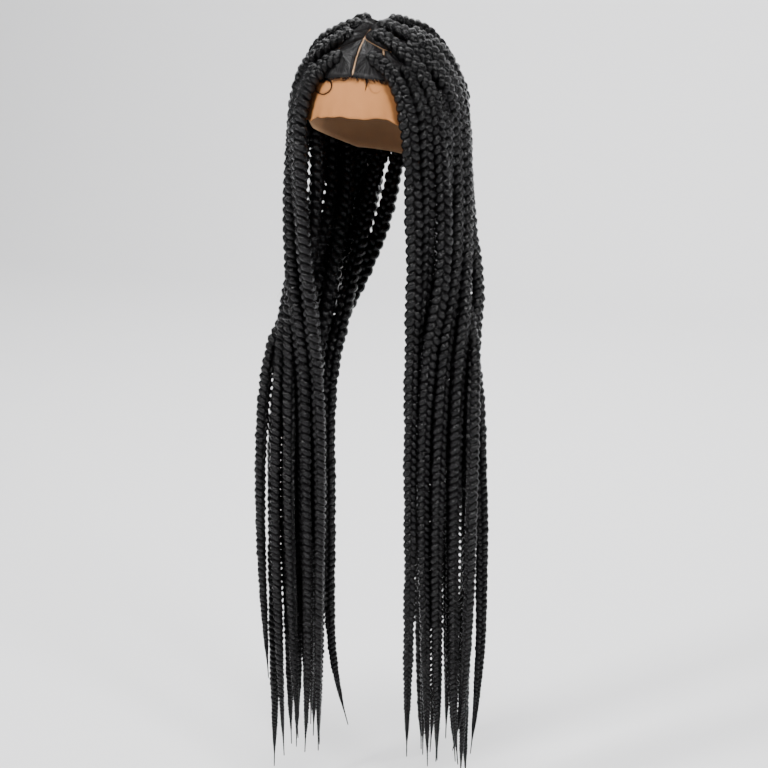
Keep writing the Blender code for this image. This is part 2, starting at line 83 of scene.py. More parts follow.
@dataclass(frozen=True)
class HeadForm:
    """The head that the cap fits, as the inside of the cap."""

    half_width: float = 0.074
    front_depth: float = 0.090
    back_depth: float = 0.098
    crown_height: float = 0.095

    def point(self, angle: np.ndarray, heading: np.ndarray, offset: np.ndarray) -> np.ndarray:
        """Finds points outside the head from their place on it.

        Args:
            angle: Degrees down from the crown.
            heading: Degrees round the head from the face.
            offset: Height over the head.

        Returns:
            The points, with a last axis of three.
        """
        a, h = np.radians(angle), np.radians(heading)
        depth = np.where(np.cos(h) > 0, self.front_depth, self.back_depth)
        width, crown = self.half_width, self.crown_height
        point = np.stack(
            np.broadcast_arrays(
                width * np.sin(a) * np.sin(h), -depth * np.sin(a) * np.cos(h), crown * np.cos(a) - crown
            ),
            -1,
        )
        normal = np.stack(
            np.broadcast_arrays(
                np.sin(a) * np.sin(h) / width, -np.sin(a) * np.cos(h) / depth, np.cos(a) / crown
            ),
            -1,
        )
        normal = normal / np.linalg.norm(normal, axis=-1, keepdims=True)
        return point + np.asarray(offset)[..., None] * normal

    def outward(self, points: np.ndarray) -> tuple[np.ndarray, np.ndarray]:
        """Finds the outward direction and the height over the head.

        Args:
            points: Points near the head, one a row.

        Returns:
            The directions, and the heights.
        """
        depth = np.where(points[:, 1] < 0, self.front_depth, self.back_depth)
        axes = np.stack(
            [np.full_like(depth, self.half_width), depth, np.full_like(depth, self.crown_height)], 1
        )
        scaled = (points + np.array([0.0, 0.0, self.crown_height])) / axes
        reach = np.linalg.norm(scaled, axis=1)
        gradient = scaled / axes
        steepness = np.linalg.norm(gradient, axis=1)
        return gradient / steepness[:, None], reach * (reach - 1.0) / steepness

    def pressed(self, points: np.ndarray, offset: np.ndarray) -> np.ndarray:
        """Moves points along the ray from the head's middle to a height over the head.

        Args:
            points: Points near the head, one a row.
            offset: Height over the head for each.

        Returns:
            The moved points.
        """
        depth = np.where(points[:, 1] < 0, self.front_depth, self.back_depth)
        axes = np.stack(
            [np.full_like(depth, self.half_width), depth, np.full_like(depth, self.crown_height)], 1
        )
        middle = np.array([0.0, 0.0, -self.crown_height])
        local = points - middle
        on_it = local / np.linalg.norm(local / axes, axis=1)[:, None] + middle
        directions, _ = self.outward(on_it)
        return on_it + np.asarray(offset)[:, None] * directions


@dataclass(frozen=True)
class BraidPlan:
    """One braid of a side: where its hair grows, how it hangs and where it ends."""

    row: int
    place: int
    ring: Ring
    heading: float
    column: float
    layer: int
    left: float
    right: float
    left_swing: float
    right_swing: float

    def share(self, side: Side) -> float:
        """Length as a share of the longest braid's."""
        return self.left if side is Side.LEFT else self.right

    def swing(self, side: Side) -> float:
        """How far the tip swings outward, in metres."""
        return (self.left_swing if side is Side.LEFT else self.right_swing) / 1000.0


PLANS = (
    BraidPlan(0, 0, Ring.SIDE, 48.0, 0.0, 0, 0.880, 0.890, 0, 2),
    BraidPlan(0, 1, Ring.SIDE, 58.0, 0.5, 1, 0.848, 0.853, 2, -3),
    BraidPlan(0, 2, Ring.SIDE, 78.0, 1.5, 1, 0.826, 0.784, -3, 4),
    BraidPlan(0, 3, Ring.SIDE, 108.0, 2.6, 1, 0.808, 0.741, 4, -6),
    BraidPlan(0, 4, Ring.INNER, 131.0, 1.2, 2, 0.792, 0.776, -5, 3),
    BraidPlan(0, 5, Ring.INNER, 152.0, 0.1, 2, 0.797, 0.780, 3, -24),
    BraidPlan(1, 0, Ring.SIDE, 68.0, 1.0, 0, 0.911, 0.915, 2, 3),
    BraidPlan(1, 1, Ring.SIDE, 88.0, 2.0, 0, 0.884, 0.881, -4, -2),
    BraidPlan(1, 2, Ring.SIDE, 118.0, 3.5, 1, 0.908, 0.925, -3, 5),
    BraidPlan(1, 3, Ring.OUTER, 137.0, 3.0, 2, 0.900, 0.880, 5, -4),
    BraidPlan(1, 4, Ring.INNER, 170.0, 1.6, 3, 0.852, 0.874, -2, 2),
    BraidPlan(2, 0, Ring.SIDE, 98.0, 3.0, 0, 0.940, 0.960, 3, -3),
    BraidPlan(2, 1, Ring.SIDE, 128.0, 4.0, 0, 0.930, 0.868, -18, -2),
    BraidPlan(2, 2, Ring.OUTER, 146.0, 2.6, 3, 0.920, 0.930, 4, 3),
    BraidPlan(3, 0, Ring.OUTER, 154.0, 4.0, 2, 1.000, 1.000, -10, 2),
)


@dataclass(frozen=True)
class HairPattern:
    """Where the hair is parted on the cap, as angles from the crown over headings round it."""

    headings: tuple[float, ...] = (0.0, 30.0, 60.0, 90.0, 135.0, 180.0)
    rows: tuple[tuple[float, ...], ...] = (
        (58.5, 61.0, 75.0, 99.0, 116.0, 122.0),
        (27.0, 38.0, 46.0, 64.0, 80.0, 86.0),
        (16.0, 24.0, 34.0, 41.0, 50.0, 54.0),
        (7.0, 10.0, 14.0, 18.0, 22.0, 24.0),
        (0.0, 0.0, 0.0, 0.0, 0.0, 0.0),
    )
    row_headings: tuple[tuple[float, ...], ...] = (
        (0.0, 30.0, 60.0, 90.0, 118.0, 148.0, 180.0),
        (0.0, 38.0, 74.0, 108.0, 143.0, 180.0),
        (0.0, 52.0, 110.0, 180.0),
        (0.0, 180.0),
    )
    part_width: float = 0.0030
    edge_margin_share: float = 0.2
    crown_clear_angle: float = 4.0
    head: HeadForm = HeadForm()

    def angle_at(self, row: int, heading: float) -> float:
        """Angle from the crown of a row's lower edge at a heading."""
        return float(np.interp(abs(heading), self.headings, self.rows[row]))

    def bounds(self, plan: BraidPlan) -> tuple[float, float]:
        """Headings where a braid's section starts and ends."""
        headings = self.row_headings[plan.row]
        return headings[plan.place], headings[plan.place + 1]

    def centre(self, plan: BraidPlan) -> tuple[float, float]:
        """Angle and heading of the middle of a braid's section."""
        start, end = self.bounds(plan)
        heading = (start + end) / 2
        return (self.angle_at(plan.row, heading) + self.angle_at(plan.row + 1, heading)) / 2, heading

    def place(self, plan: BraidPlan, u: float, v: float) -> tuple[float, float]:
        """Finds a place in a section, inside its partings.

        Args:
            plan: The braid that the section is gathered into.
            u: Share of the way round the head.
            v: Share of the way up to the crown.

        Returns:
            Angle and heading.
        """
        start, end = self.bounds(plan)
        raw = start + (end - start) * u
        low, high = self.angle_at(plan.row, raw), self.angle_at(plan.row + 1, raw)
        degree = math.pi / 180.0
        margin = self.part_width / 2 / (degree * self.head.crown_height)
        low_margin = margin * self.edge_margin_share if plan.row == 0 else margin
        top = high + max(margin, self.crown_clear_angle - high)
        angle = low - low_margin + (top - low + low_margin) * v
        radius = (self.head.half_width + self.head.front_depth) / 2
        side_margin = self.part_width / 2 / (degree * radius * math.sin(math.radians(angle)))
        return angle, float(np.clip(raw, start + side_margin, end - side_margin))


@dataclass(frozen=True)
class BraidSizes:
    """Sizes that all braids share."""

    width: float = 0.0165
    root_share: float = 0.34
    root_taper_share: float = 0.045
    tip_width: float = 0.0034
    length: float = 0.914
    full_width_share: float = 0.30
    taper_start_share: float = 0.80
    waist_share: float = 0.72
    gap: float = 0.0015

    def width_at(self, share: np.ndarray) -> np.ndarray:
        """A braid's width at shares of its length from the root."""
        shares = (0.0, self.root_taper_share, self.full_width_share, self.taper_start_share, 1.0)
        widths = (self.root_share * self.width, self.width, self.width, self.waist_share * self.width)
        return np.interp(share, shares, (*widths, self.tip_width))


@dataclass
class Routes:
    """Works out how all braids lie, with room for each other and for the head."""

    head: HeadForm = field(default_factory=HeadForm)
    pattern: HairPattern = field(default_factory=HairPattern)
    sizes: BraidSizes = field(default_factory=BraidSizes)
    cap_wall: float = 0.0012
    clearance: float = 0.0003
    hair_thickness: float = 0.0022
    leaving_angle: float = 92.0
    low_braid_run: float = 4.0
    crown_arch: float = 0.009
    arch_shares: tuple[float, ...] = (0.0, 0.12, 0.35)
    arch_heights: tuple[float, ...] = (0.6, 1.0, 0.0)
    turn_power: float = 0.6
    hairline_turn_power: float = 0.12
    head_steps: int = 10
    neck_drop: float = 0.205
    shoulder_drop: float = 0.300
    chest_drop: float = 0.400
    curtain_inner: float = 0.052
    curtain_front: float = 0.045
    left_pitch: float = 0.0172
    right_pitch: float = 0.0163
    layer_pitch: float = 0.0150
    wander: float = 0.0025
    wander_start: float = 0.35
    wander_rise: float = 0.30
    waves: tuple[float, float] = (8.5, 7.0)
    phase_step: float = 2.4
    phase_ratio: float = 2.1
    tip_bend_start: float = 0.84
    end_reach: float = 1.2
    count: int = 76
    relax_rounds: int = 140
    settle_rounds: int = 60
    return_rate: float = 0.015
    straighten_rate: float = 0.22
    push_rate: float = 1.3
    near_widths: float = 2.6
    near_rounds: int = 10
    tiny: float = 1e-12

    @property
    def root_height(self) -> float:
        """Height over the head at which a braid starts in its own section."""
        return self.cap_wall + 2 * self.clearance

    @property
    def lying_height(self) -> float:
        """Height over the head at which a braid lies on the other sections."""
        return self.cap_wall + self.hair_thickness + 2 * self.clearance

    @staticmethod
    def smooth(points: np.ndarray, steps: int = 12) -> np.ndarray:
        """Runs a smooth curve through points.

        Args:
            points: The points to pass.
            steps: Pieces between two of them.

        Returns:
            The points of the curve.
        """
        ends = np.vstack([2 * points[0] - points[1], points, 2 * points[-1] - points[-2]])
        line = []
        for a, b, c, d in zip(ends[:-3], ends[1:-2], ends[2:-1], ends[3:]):
            bend, turn = 2 * a - 5 * b + 4 * c - d, 3 * b - a - 3 * c + d
            for t in np.linspace(0.0, 1.0, steps, endpoint=False):
                line.append((2 * b + (c - a) * t + bend * t**2 + turn * t**3) / 2)
        line.append(points[-1])
        return np.array(line)

    @staticmethod
    def evenly(line: np.ndarray, length: float, count: int) -> np.ndarray:
        """Takes the first stretch of a line as evenly spaced points.

        Args:
            line: The line.
            length: Length of the stretch.
            count: Number of points.

        Returns:
            The points.
        """
        along = np.concatenate([[0.0], np.cumsum(np.linalg.norm(np.diff(line, axis=0), axis=1))])
        wanted = np.linspace(0.0, min(length, along[-1]), count)
        return np.stack([np.interp(wanted, along, line[:, axis]) for axis in range(3)], 1)

    def first(self, number: int, side: Side) -> np.ndarray:
        """Lays one braid before the braids make room for each other.

        Args:
            number: Index of the braid's plan.
            side: The side it is on.

        Returns:
            Evenly spaced points from root to tip.
        """
        plan = PLANS[number]
        angle, heading = self.pattern.centre(plan)
        lying = self.lying_height + self.sizes.width / 2
        leaving = max(self.leaving_angle, angle + self.low_braid_run)
        power = self.hairline_turn_power if (plan.row, plan.place) == (0, 0) else self.turn_power
        start = self.root_height + float(self.sizes.width_at(0.0)) / 2
        points = [self.head.point(angle, heading, start)]
        for step in range(1, self.head_steps + 1):
            share = step / self.head_steps
            here = angle + (leaving - angle) * share
            turn = heading + (plan.heading - heading) * share**power
            above = lying
            if plan.row == len(self.pattern.row_headings) - 1:
                above += self.crown_arch * float(np.interp(share, self.arch_shares, self.arch_heights))
            points.append(self.head.point(here, turn, above))
        half_width, half_depth = plan.ring.value
        turn = math.radians(plan.heading)
        neck = np.array([half_width * math.sin(turn), -half_depth * math.cos(turn), -self.neck_drop])
        pitch = self.left_pitch if side is Side.LEFT else self.right_pitch
        chest = np.array(
            [
                self.curtain_inner + pitch * plan.column,
                -self.curtain_front + self.layer_pitch * plan.layer,
                -self.chest_drop,
            ]
        )
        shoulder = (neck + chest) / 2
        shoulder[2] = -self.shoulder_drop
        end = chest + np.array([0.0, 0.0, self.chest_drop - self.end_reach * self.sizes.length])
        line = self.smooth(np.array([*points, neck, shoulder, chest, (chest + end) / 2, end]))
        route = self.evenly(line, self.sizes.length * plan.share(side), self.count)
        share = np.linspace(0.0, 1.0, self.count)
        phase = self.phase_step * (2 * number + (side is Side.LEFT))
        wander = self.wander * np.clip((share - self.wander_start) / self.wander_rise, 0.0, 1.0)
        near_tip = np.clip((share - self.tip_bend_start) / (1.0 - self.tip_bend_start), 0.0, 1.0)
        route[:, 0] += wander * np.sin(self.waves[0] * share + phase) + plan.swing(side) * near_tip**2
        route[:, 1] += wander * np.sin(self.waves[1] * share + self.phase_ratio * phase)
        route[:, 0] *= side.value
        return route

    def closest(self, a0: np.ndarray, a1: np.ndarray, b0: np.ndarray, b1: np.ndarray) -> tuple:
        """Finds where pairs of short pieces are closest.

        Args:
            a0: Starts of the first pieces.
            a1: Ends of the first pieces.
            b0: Starts of the second pieces.
            b1: Ends of the second pieces.

        Returns:
            Shares along the first and the second pieces.
        """
        u, v, w = a1 - a0, b1 - b0, a0 - b0
        uu, uv, vv = (u * u).sum(1), (u * v).sum(1), (v * v).sum(1)
        uw, vw = (u * w).sum(1), (v * w).sum(1)
        spread = np.maximum(uu * vv - uv * uv, self.tiny)
        s = np.clip((uv * vw - vv * uw) / spread, 0.0, 1.0)
        t = np.clip((uv * s + vw) / np.maximum(vv, self.tiny), 0.0, 1.0)
        s = np.clip((uv * t - uw) / np.maximum(uu, self.tiny), 0.0, 1.0)
        return s, t

    @staticmethod
    def near(points: np.ndarray, owner: np.ndarray, reach: float) -> tuple[np.ndarray, np.ndarray]:
        """Lists pieces of different braids that lie near each other.

        Args:
            points: Points of all braids.
            owner: The braid of each piece.
            reach: How far apart two middles may be.

        Returns:
            The first and the second piece of each pair.
        """
        middles = (points[:, :-1] + points[:, 1:]).reshape(-1, 3) / 2
        order = np.argsort(middles[:, 2], kind="stable")
        heights = middles[order, 2]
        first, second = [], []
        for i, index in enumerate(order):
            last = np.searchsorted(heights, heights[i] + reach, side="right")
            others = order[i + 1 : last]
            close = ((middles[others] - middles[index]) ** 2).sum(1) < reach * reach
            others = others[close & (owner[others] != owner[index])]
            first.append(np.full(len(others), index))
            second.append(others)
        return np.concatenate(first), np.concatenate(second)

    def make_room(self, points: np.ndarray, radii: np.ndarray) -> np.ndarray:
        """Moves the braids apart until none overlaps another or the head.

        Args:
            points: Points of all braids, changed in place.
            radii: Radius of the braids along them.

        Returns:
            The same points.
        """
        braids, count, _ = points.shape
        pieces = count - 1
        owner = np.repeat(np.arange(braids), pieces)
        start = np.arange(braids * pieces) + owner
        wanted = points.copy()
        # The root stays put, and the stretch beside it gives way slowly
        freedom = np.clip((np.arange(count) - 0.5) / 2.5, 0.0, 1.0)
        freedom = np.tile(freedom, braids)[:, None]
        floor = np.full(count, self.lying_height)
        floor[0] = self.root_height
        floor = np.tile(floor, braids)
        reach = self.near_widths * self.sizes.width
        for turn in range(self.relax_rounds + self.settle_rounds):
            if turn % self.near_rounds == 0:
                first, second = self.near(points, owner, reach)
            if turn < self.relax_rounds:
                points[:, 1:] += self.return_rate * (wanted[:, 1:] - points[:, 1:])
                bend = points[:, :-2] + points[:, 2:] - 2 * points[:, 1:-1]
                points[:, 1:-1] += self.straighten_rate * bend
                points[:, 0] = wanted[:, 0]
            flat, flat_radii = points.reshape(-1, 3), radii.reshape(-1)
            i, j = start[first], start[second]
            s, t = self.closest(flat[i], flat[i + 1], flat[j], flat[j + 1])
            s, t = s[:, None], t[:, None]
            apart = flat[i] * (1 - s) + flat[i + 1] * s - flat[j] * (1 - t) - flat[j + 1] * t
            distance = np.maximum(np.linalg.norm(apart, axis=1), self.tiny)
            needed = flat_radii[i] + flat_radii[j] + self.sizes.gap
            push = np.maximum(needed - distance, 0.0)[:, None] * apart / distance[:, None] * 0.5
            moves, weights = np.zeros_like(flat), np.full((len(flat), 1), self.tiny)
            for index, share, way in ((i, 1 - s, 1), (i + 1, s, 1), (j, 1 - t, -1), (j + 1, t, -1)):
                np.add.at(moves, index, way * push * share)
                np.add.at(weights, index, (np.abs(push).sum(1, keepdims=True) > 0) * share)
            flat += moves / np.maximum(weights, 1.0) * self.push_rate * freedom
            outward, height = self.head.outward(flat)
            sunk = np.maximum(floor + flat_radii - height, 0.0)[:, None]
            flat += sunk * outward * freedom
        return points

    def all(self) -> dict[tuple[Side, int], np.ndarray]:
        """The points of every braid, by side and number."""
        keys = [(side, number) for side in Side for number in range(len(PLANS))]
        points = np.array([self.first(number, side) for side, number in keys])
        radii = np.tile(self.sizes.width_at(np.linspace(0.0, 1.0, self.count)) / 2, (len(keys), 1))
        points = self.make_room(points, radii)
        return {key: points[k] for k, key in enumerate(keys)}


@dataclass
class MeshDraft:
    """Vertices, faces, texture places and materials of one mesh while it is put together."""

    vertices: list[np.ndarray] = field(default_factory=list)
    faces: list[np.ndarray] = field(default_factory=list)
    places: list[np.ndarray] = field(default_factory=list)
    slots: list[np.ndarray] = field(default_factory=list)
    count: int = 0

    def grid(self, points: np.ndarray, places: np.ndarray, slot: int = 0, closed: bool = True) -> None:
        """Adds a grid of four-sided faces.

        Args:
            points: Rows of points, one ring or line a row.
            places: Texture places of the rows, with one more column than points where it is closed.
            slot: Index of the material.
            closed: Whether each row is a ring.
        """
        rows, columns, _ = points.shape
        across = columns if closed else columns - 1
        r, c = np.meshgrid(np.arange(rows - 1), np.arange(across), indexing="ij")
        after = (c + 1) % columns
        corners = np.stack(
            [r * columns + c, r * columns + after, (r + 1) * columns + after, (r + 1) * columns + c], -1
        )
        self.vertices.append(points.reshape(-1, 3))
        self.faces.append(corners.reshape(-1, 4) + self.count)
        corner_places = np.stack(
            [places[r, c], places[r, c + 1], places[r + 1, c + 1], places[r + 1, c]], -2
        )
        self.places.append(corner_places.reshape(-1, 2))
        self.slots.append(np.full(rows_of(corners), slot))
        self.count += rows * columns

    def object(self, name: str, materials: list[bpy.types.Material]) -> bpy.types.Object:
        """Makes the mesh an object in the scene.

        Args:
            name: Name of the piece.
            materials: Its materials, in the order of the slots.

        Returns:
            The new object.
        """
        vertices, faces = np.concatenate(self.vertices), np.concatenate(self.faces)
        mesh = bpy.data.meshes.new(name)
        mesh.vertices.add(len(vertices))
        mesh.vertices.foreach_set("co", vertices.astype(np.float32).reshape(-1))
        mesh.loops.add(faces.size)
        mesh.loops.foreach_set("vertex_index", faces.astype(np.int32).reshape(-1))
        mesh.polygons.add(len(faces))
        mesh.polygons.foreach_set("loop_start", np.arange(0, faces.size, 4, dtype=np.int32))
        mesh.polygons.foreach_set("use_smooth", np.ones(len(faces), dtype=bool))
        mesh.polygons.foreach_set("material_index", np.concatenate(self.slots).astype(np.int32))
        layer = mesh.uv_layers.new(name="UVMap")
        layer.data.foreach_set("uv", np.concatenate(self.places).astype(np.float32).reshape(-1))
        for material in materials:
            mesh.materials.append(material)
        mesh.update(calc_edges=True)
        mesh.validate()
        obj = bpy.data.objects.new(name, mesh)
        bpy.context.scene.collection.objects.link(obj)
        return obj


def rows_of(corners: np.ndarray) -> int:
    """Number of faces in a block of corner indices."""
    return corners.size // 4


def unit(vectors: np.ndarray) -> np.ndarray:
    """The same directions with length one."""
    return vectors / np.maximum(np.linalg.norm(vectors, axis=-1, keepdims=True), 1e-12)


@dataclass
class Plait:
    """Three strands of hair plaited along a route, from a knot at the root to a wispy tip."""

    route: np.ndarray
    head: HeadForm
    sizes: BraidSizes
    seed: int
    full_shares: tuple[float, ...] = (0.80, 0.90, 0.945, 0.975, 1.0)
    fullness: tuple[float, ...] = (1.17, 1.38, 1.20, 1.00, 0.90)
    root_fullness: float = 0.86
    root_reach: float = 0.13
    root_height: float = 0.0022
    top_pitch_widths: float = 1.62
    low_pitch_widths: float = 1.50
    sway_share: float = 0.262
    weave_share: float = 0.170
    strand_across_share: float = 0.215
    strand_through_share: float = 0.215
    bulge: float = 0.24
    steps_a_turn: int = 13
    step_growth: float = 1.2
    sides: int = 8
    turn_limit: float = 1.1
    twist_start: float = 0.10
    twist_power: float = 0.8
    ripple_range: tuple[float, float] = (0.10, 0.30)
    ripple_rate: float = 9.0
    root_hold: float = 0.08
    smoothing: float = 0.25
    smoothing_rounds: int = 3
    seat_share: float = 0.43
    seat_reach: float = 1.6
    pitch_shares: tuple[float, float] = (0.0, 0.5)
    fine_steps: int = 4000
    uneven_share: float = 0.045
    uneven_rates: tuple[float, ...] = (0.31, 0.83, 1.7)
    strand_seed: int = 1000
    root_length: float = 0.006
    root_power: float = 0.5
    tip_length: float = 0.022
    tail_length: float = 0.014
    tip_share: float = 0.80
    tip_power: float = 0.8

    def width(self, share: np.ndarray) -> np.ndarray:
        """The plait's full width at shares of its length."""
        blunt = self.root_fullness * self.sizes.width * (share < self.root_reach)
        fullness = np.interp(share, self.full_shares, self.fullness)
        return fullness * np.maximum(self.sizes.width_at(share), blunt)

    def line(self) -> np.ndarray:
        """The route with its kinks rounded off, and its start lifted clear of the cap."""
        line = self.route.copy()
        for _ in range(self.smoothing_rounds):
            line[1:-1] += self.smoothing * (line[:-2] + line[2:] - 2 * line[1:-1])
        share = np.linspace(0.0, 1.0, len(line))
        outward, height = self.head.outward(line)
        needed = self.root_height + self.seat_share * self.width(share) - height
        lift = np.where(share < self.seat_reach * self.root_reach, np.maximum(needed, 0.0), 0.0)
        return line + outward * lift[:, None]

    def frames(self, line: np.ndarray, share: np.ndarray) -> tuple[np.ndarray, np.ndarray, np.ndarray]:
        """Places a frame at shares along the line.

        Args:
            line: Points from root to tip.
            share: Shares from root to tip.

        Returns:
            The places, the directions across the flat of the plait, and those out of it.
        """
        knots = np.linspace(0.0, 1.0, len(line))
        tangents = unit(np.gradient(line, axis=0))
        facing = [self.head.outward(line[:1])[0][0]]
        for tangent in tangents:
            facing.append(unit(facing[-1] - tangent * (facing[-1] @ tangent)))
        facing = np.array(facing[1:])
        random = np.random.default_rng(self.seed)
        total = random.uniform(-self.turn_limit, self.turn_limit)
        ripple, phase = random.uniform(*self.ripple_range), random.uniform(0.0, 2 * math.pi)
        rise = np.clip((knots - self.twist_start) / (1.0 - self.twist_start), 0.0, 1.0)
        twist = total * rise**self.twist_power + ripple * np.sin(self.ripple_rate * knots + phase)
        twist = (twist * np.clip(knots / self.root_hold, 0.0, 1.0))[:, None]
        across = np.cross(tangents, facing)
        facing, across = (
            facing * np.cos(twist) + across * np.sin(twist),
            across * np.cos(twist) - facing * np.sin(twist),
        )
        place, across, facing = (
            np.stack([np.interp(share, knots, values[:, axis]) for axis in range(3)], 1)
            for values in (line, across, facing)
        )
        return place, unit(across), unit(facing)

    def turns(self, length: float) -> tuple[np.ndarray, np.ndarray]:
        """Spreads rings evenly over the turns of the plait.

        Args:
            length: Length of the plait.

        Returns:
            The angle of the plait at each ring, and the ring's share along the route.
        """
        fine = np.linspace(0.0, 1.0, self.fine_steps)
        widths = np.interp(fine, self.pitch_shares, (self.top_pitch_widths, self.low_pitch_widths))
        rate = 2 * math.pi * length / (widths * self.width(fine))
        angle = np.concatenate([[0.0], np.cumsum((rate[1:] + rate[:-1]) / 2 * np.diff(fine))])
        count = int(angle[-1] / (2 * math.pi) * self.steps_a_turn)
        wanted = angle[-1] * np.linspace(0.0, 1.0, count) ** self.step_growth
        return wanted, np.interp(wanted, angle, fine)

    def add_to(self, draft: MeshDraft, slot: int) -> None:
        """Adds the strands to a mesh.

        Args:
            draft: The mesh.
            slot: Index of the hair's material in it.
        """
        random = np.random.default_rng(self.strand_seed + self.seed)
        line = self.line()
        length = float(np.linalg.norm(np.diff(line, axis=0), axis=1).sum())
        angle, share = self.turns(length)
        angle = angle + random.uniform(0.0, 2 * math.pi)
        place, across, facing = self.frames(line, share)
        width = self.width(share)[:, None]
        root = np.clip(share * length / self.root_length, 0.0, 1.0)[:, None] ** self.root_power
        left = (1.0 - share) * length - self.tail_length
        tip = np.clip(left / self.tip_length, 0.0, 1.0)[:, None] ** self.tip_power
        spread = root * tip
        rim = np.arange(self.sides) * 2 * math.pi / self.sides
        for strand in range(3):
            turn = (angle + strand * 2 * math.pi / 3)[:, None]
            uneven = self.unevenness(random, angle)
            sway = self.sway_share * width * np.sin(turn) * uneven
            weave = self.weave_share * width * np.sin(2 * turn)
            centre = place + (across * sway + facing * weave) * spread
            along = unit(np.gradient(centre, axis=0))
            out = unit(facing - along * (facing * along).sum(1, keepdims=True))
            beside = np.cross(along, out)
            full = (1.0 + self.bulge * (np.sin(turn) ** 2 - 0.5)) * uneven
            full = full * (self.tip_share + (1.0 - self.tip_share) * spread) * width
            wide, thick = self.strand_across_share * full, self.strand_through_share * full
            ring = (
                centre[:, None]
                + beside[:, None] * (wide * np.cos(rim))[:, :, None]
                + out[:, None] * (thick * np.sin(rim))[:, :, None]
            )
            ends = np.repeat(ring[[0, -1]].mean(1, keepdims=True), self.sides, 1)
            ring = np.concatenate([ends[:1], ring, ends[1:]])
            run = np.concatenate([[0.0], np.cumsum(np.linalg.norm(np.diff(centre, axis=0), axis=1))])
            run = np.concatenate([run[:1], run, run[-1:]]) + STRAND_STEP * strand + PIECE_STEP * self.seed
            places = np.stack(
                np.broadcast_arrays(np.arange(self.sides + 1)[None] / self.sides, run[:, None]), -1
            )
            draft.grid(ring, places, slot)

    def unevenness(self, random: np.random.Generator, angle: np.ndarray) -> np.ndarray:
        """How much fuller or thinner a strand is than its neighbours along the plait."""
        starts = random.uniform(0.0, 2 * math.pi, len(self.uneven_rates))
        wave = sum(np.sin(rate * angle + start) for rate, start in zip(self.uneven_rates, starts))
        return (1.0 + self.uneven_share * wave)[:, None]


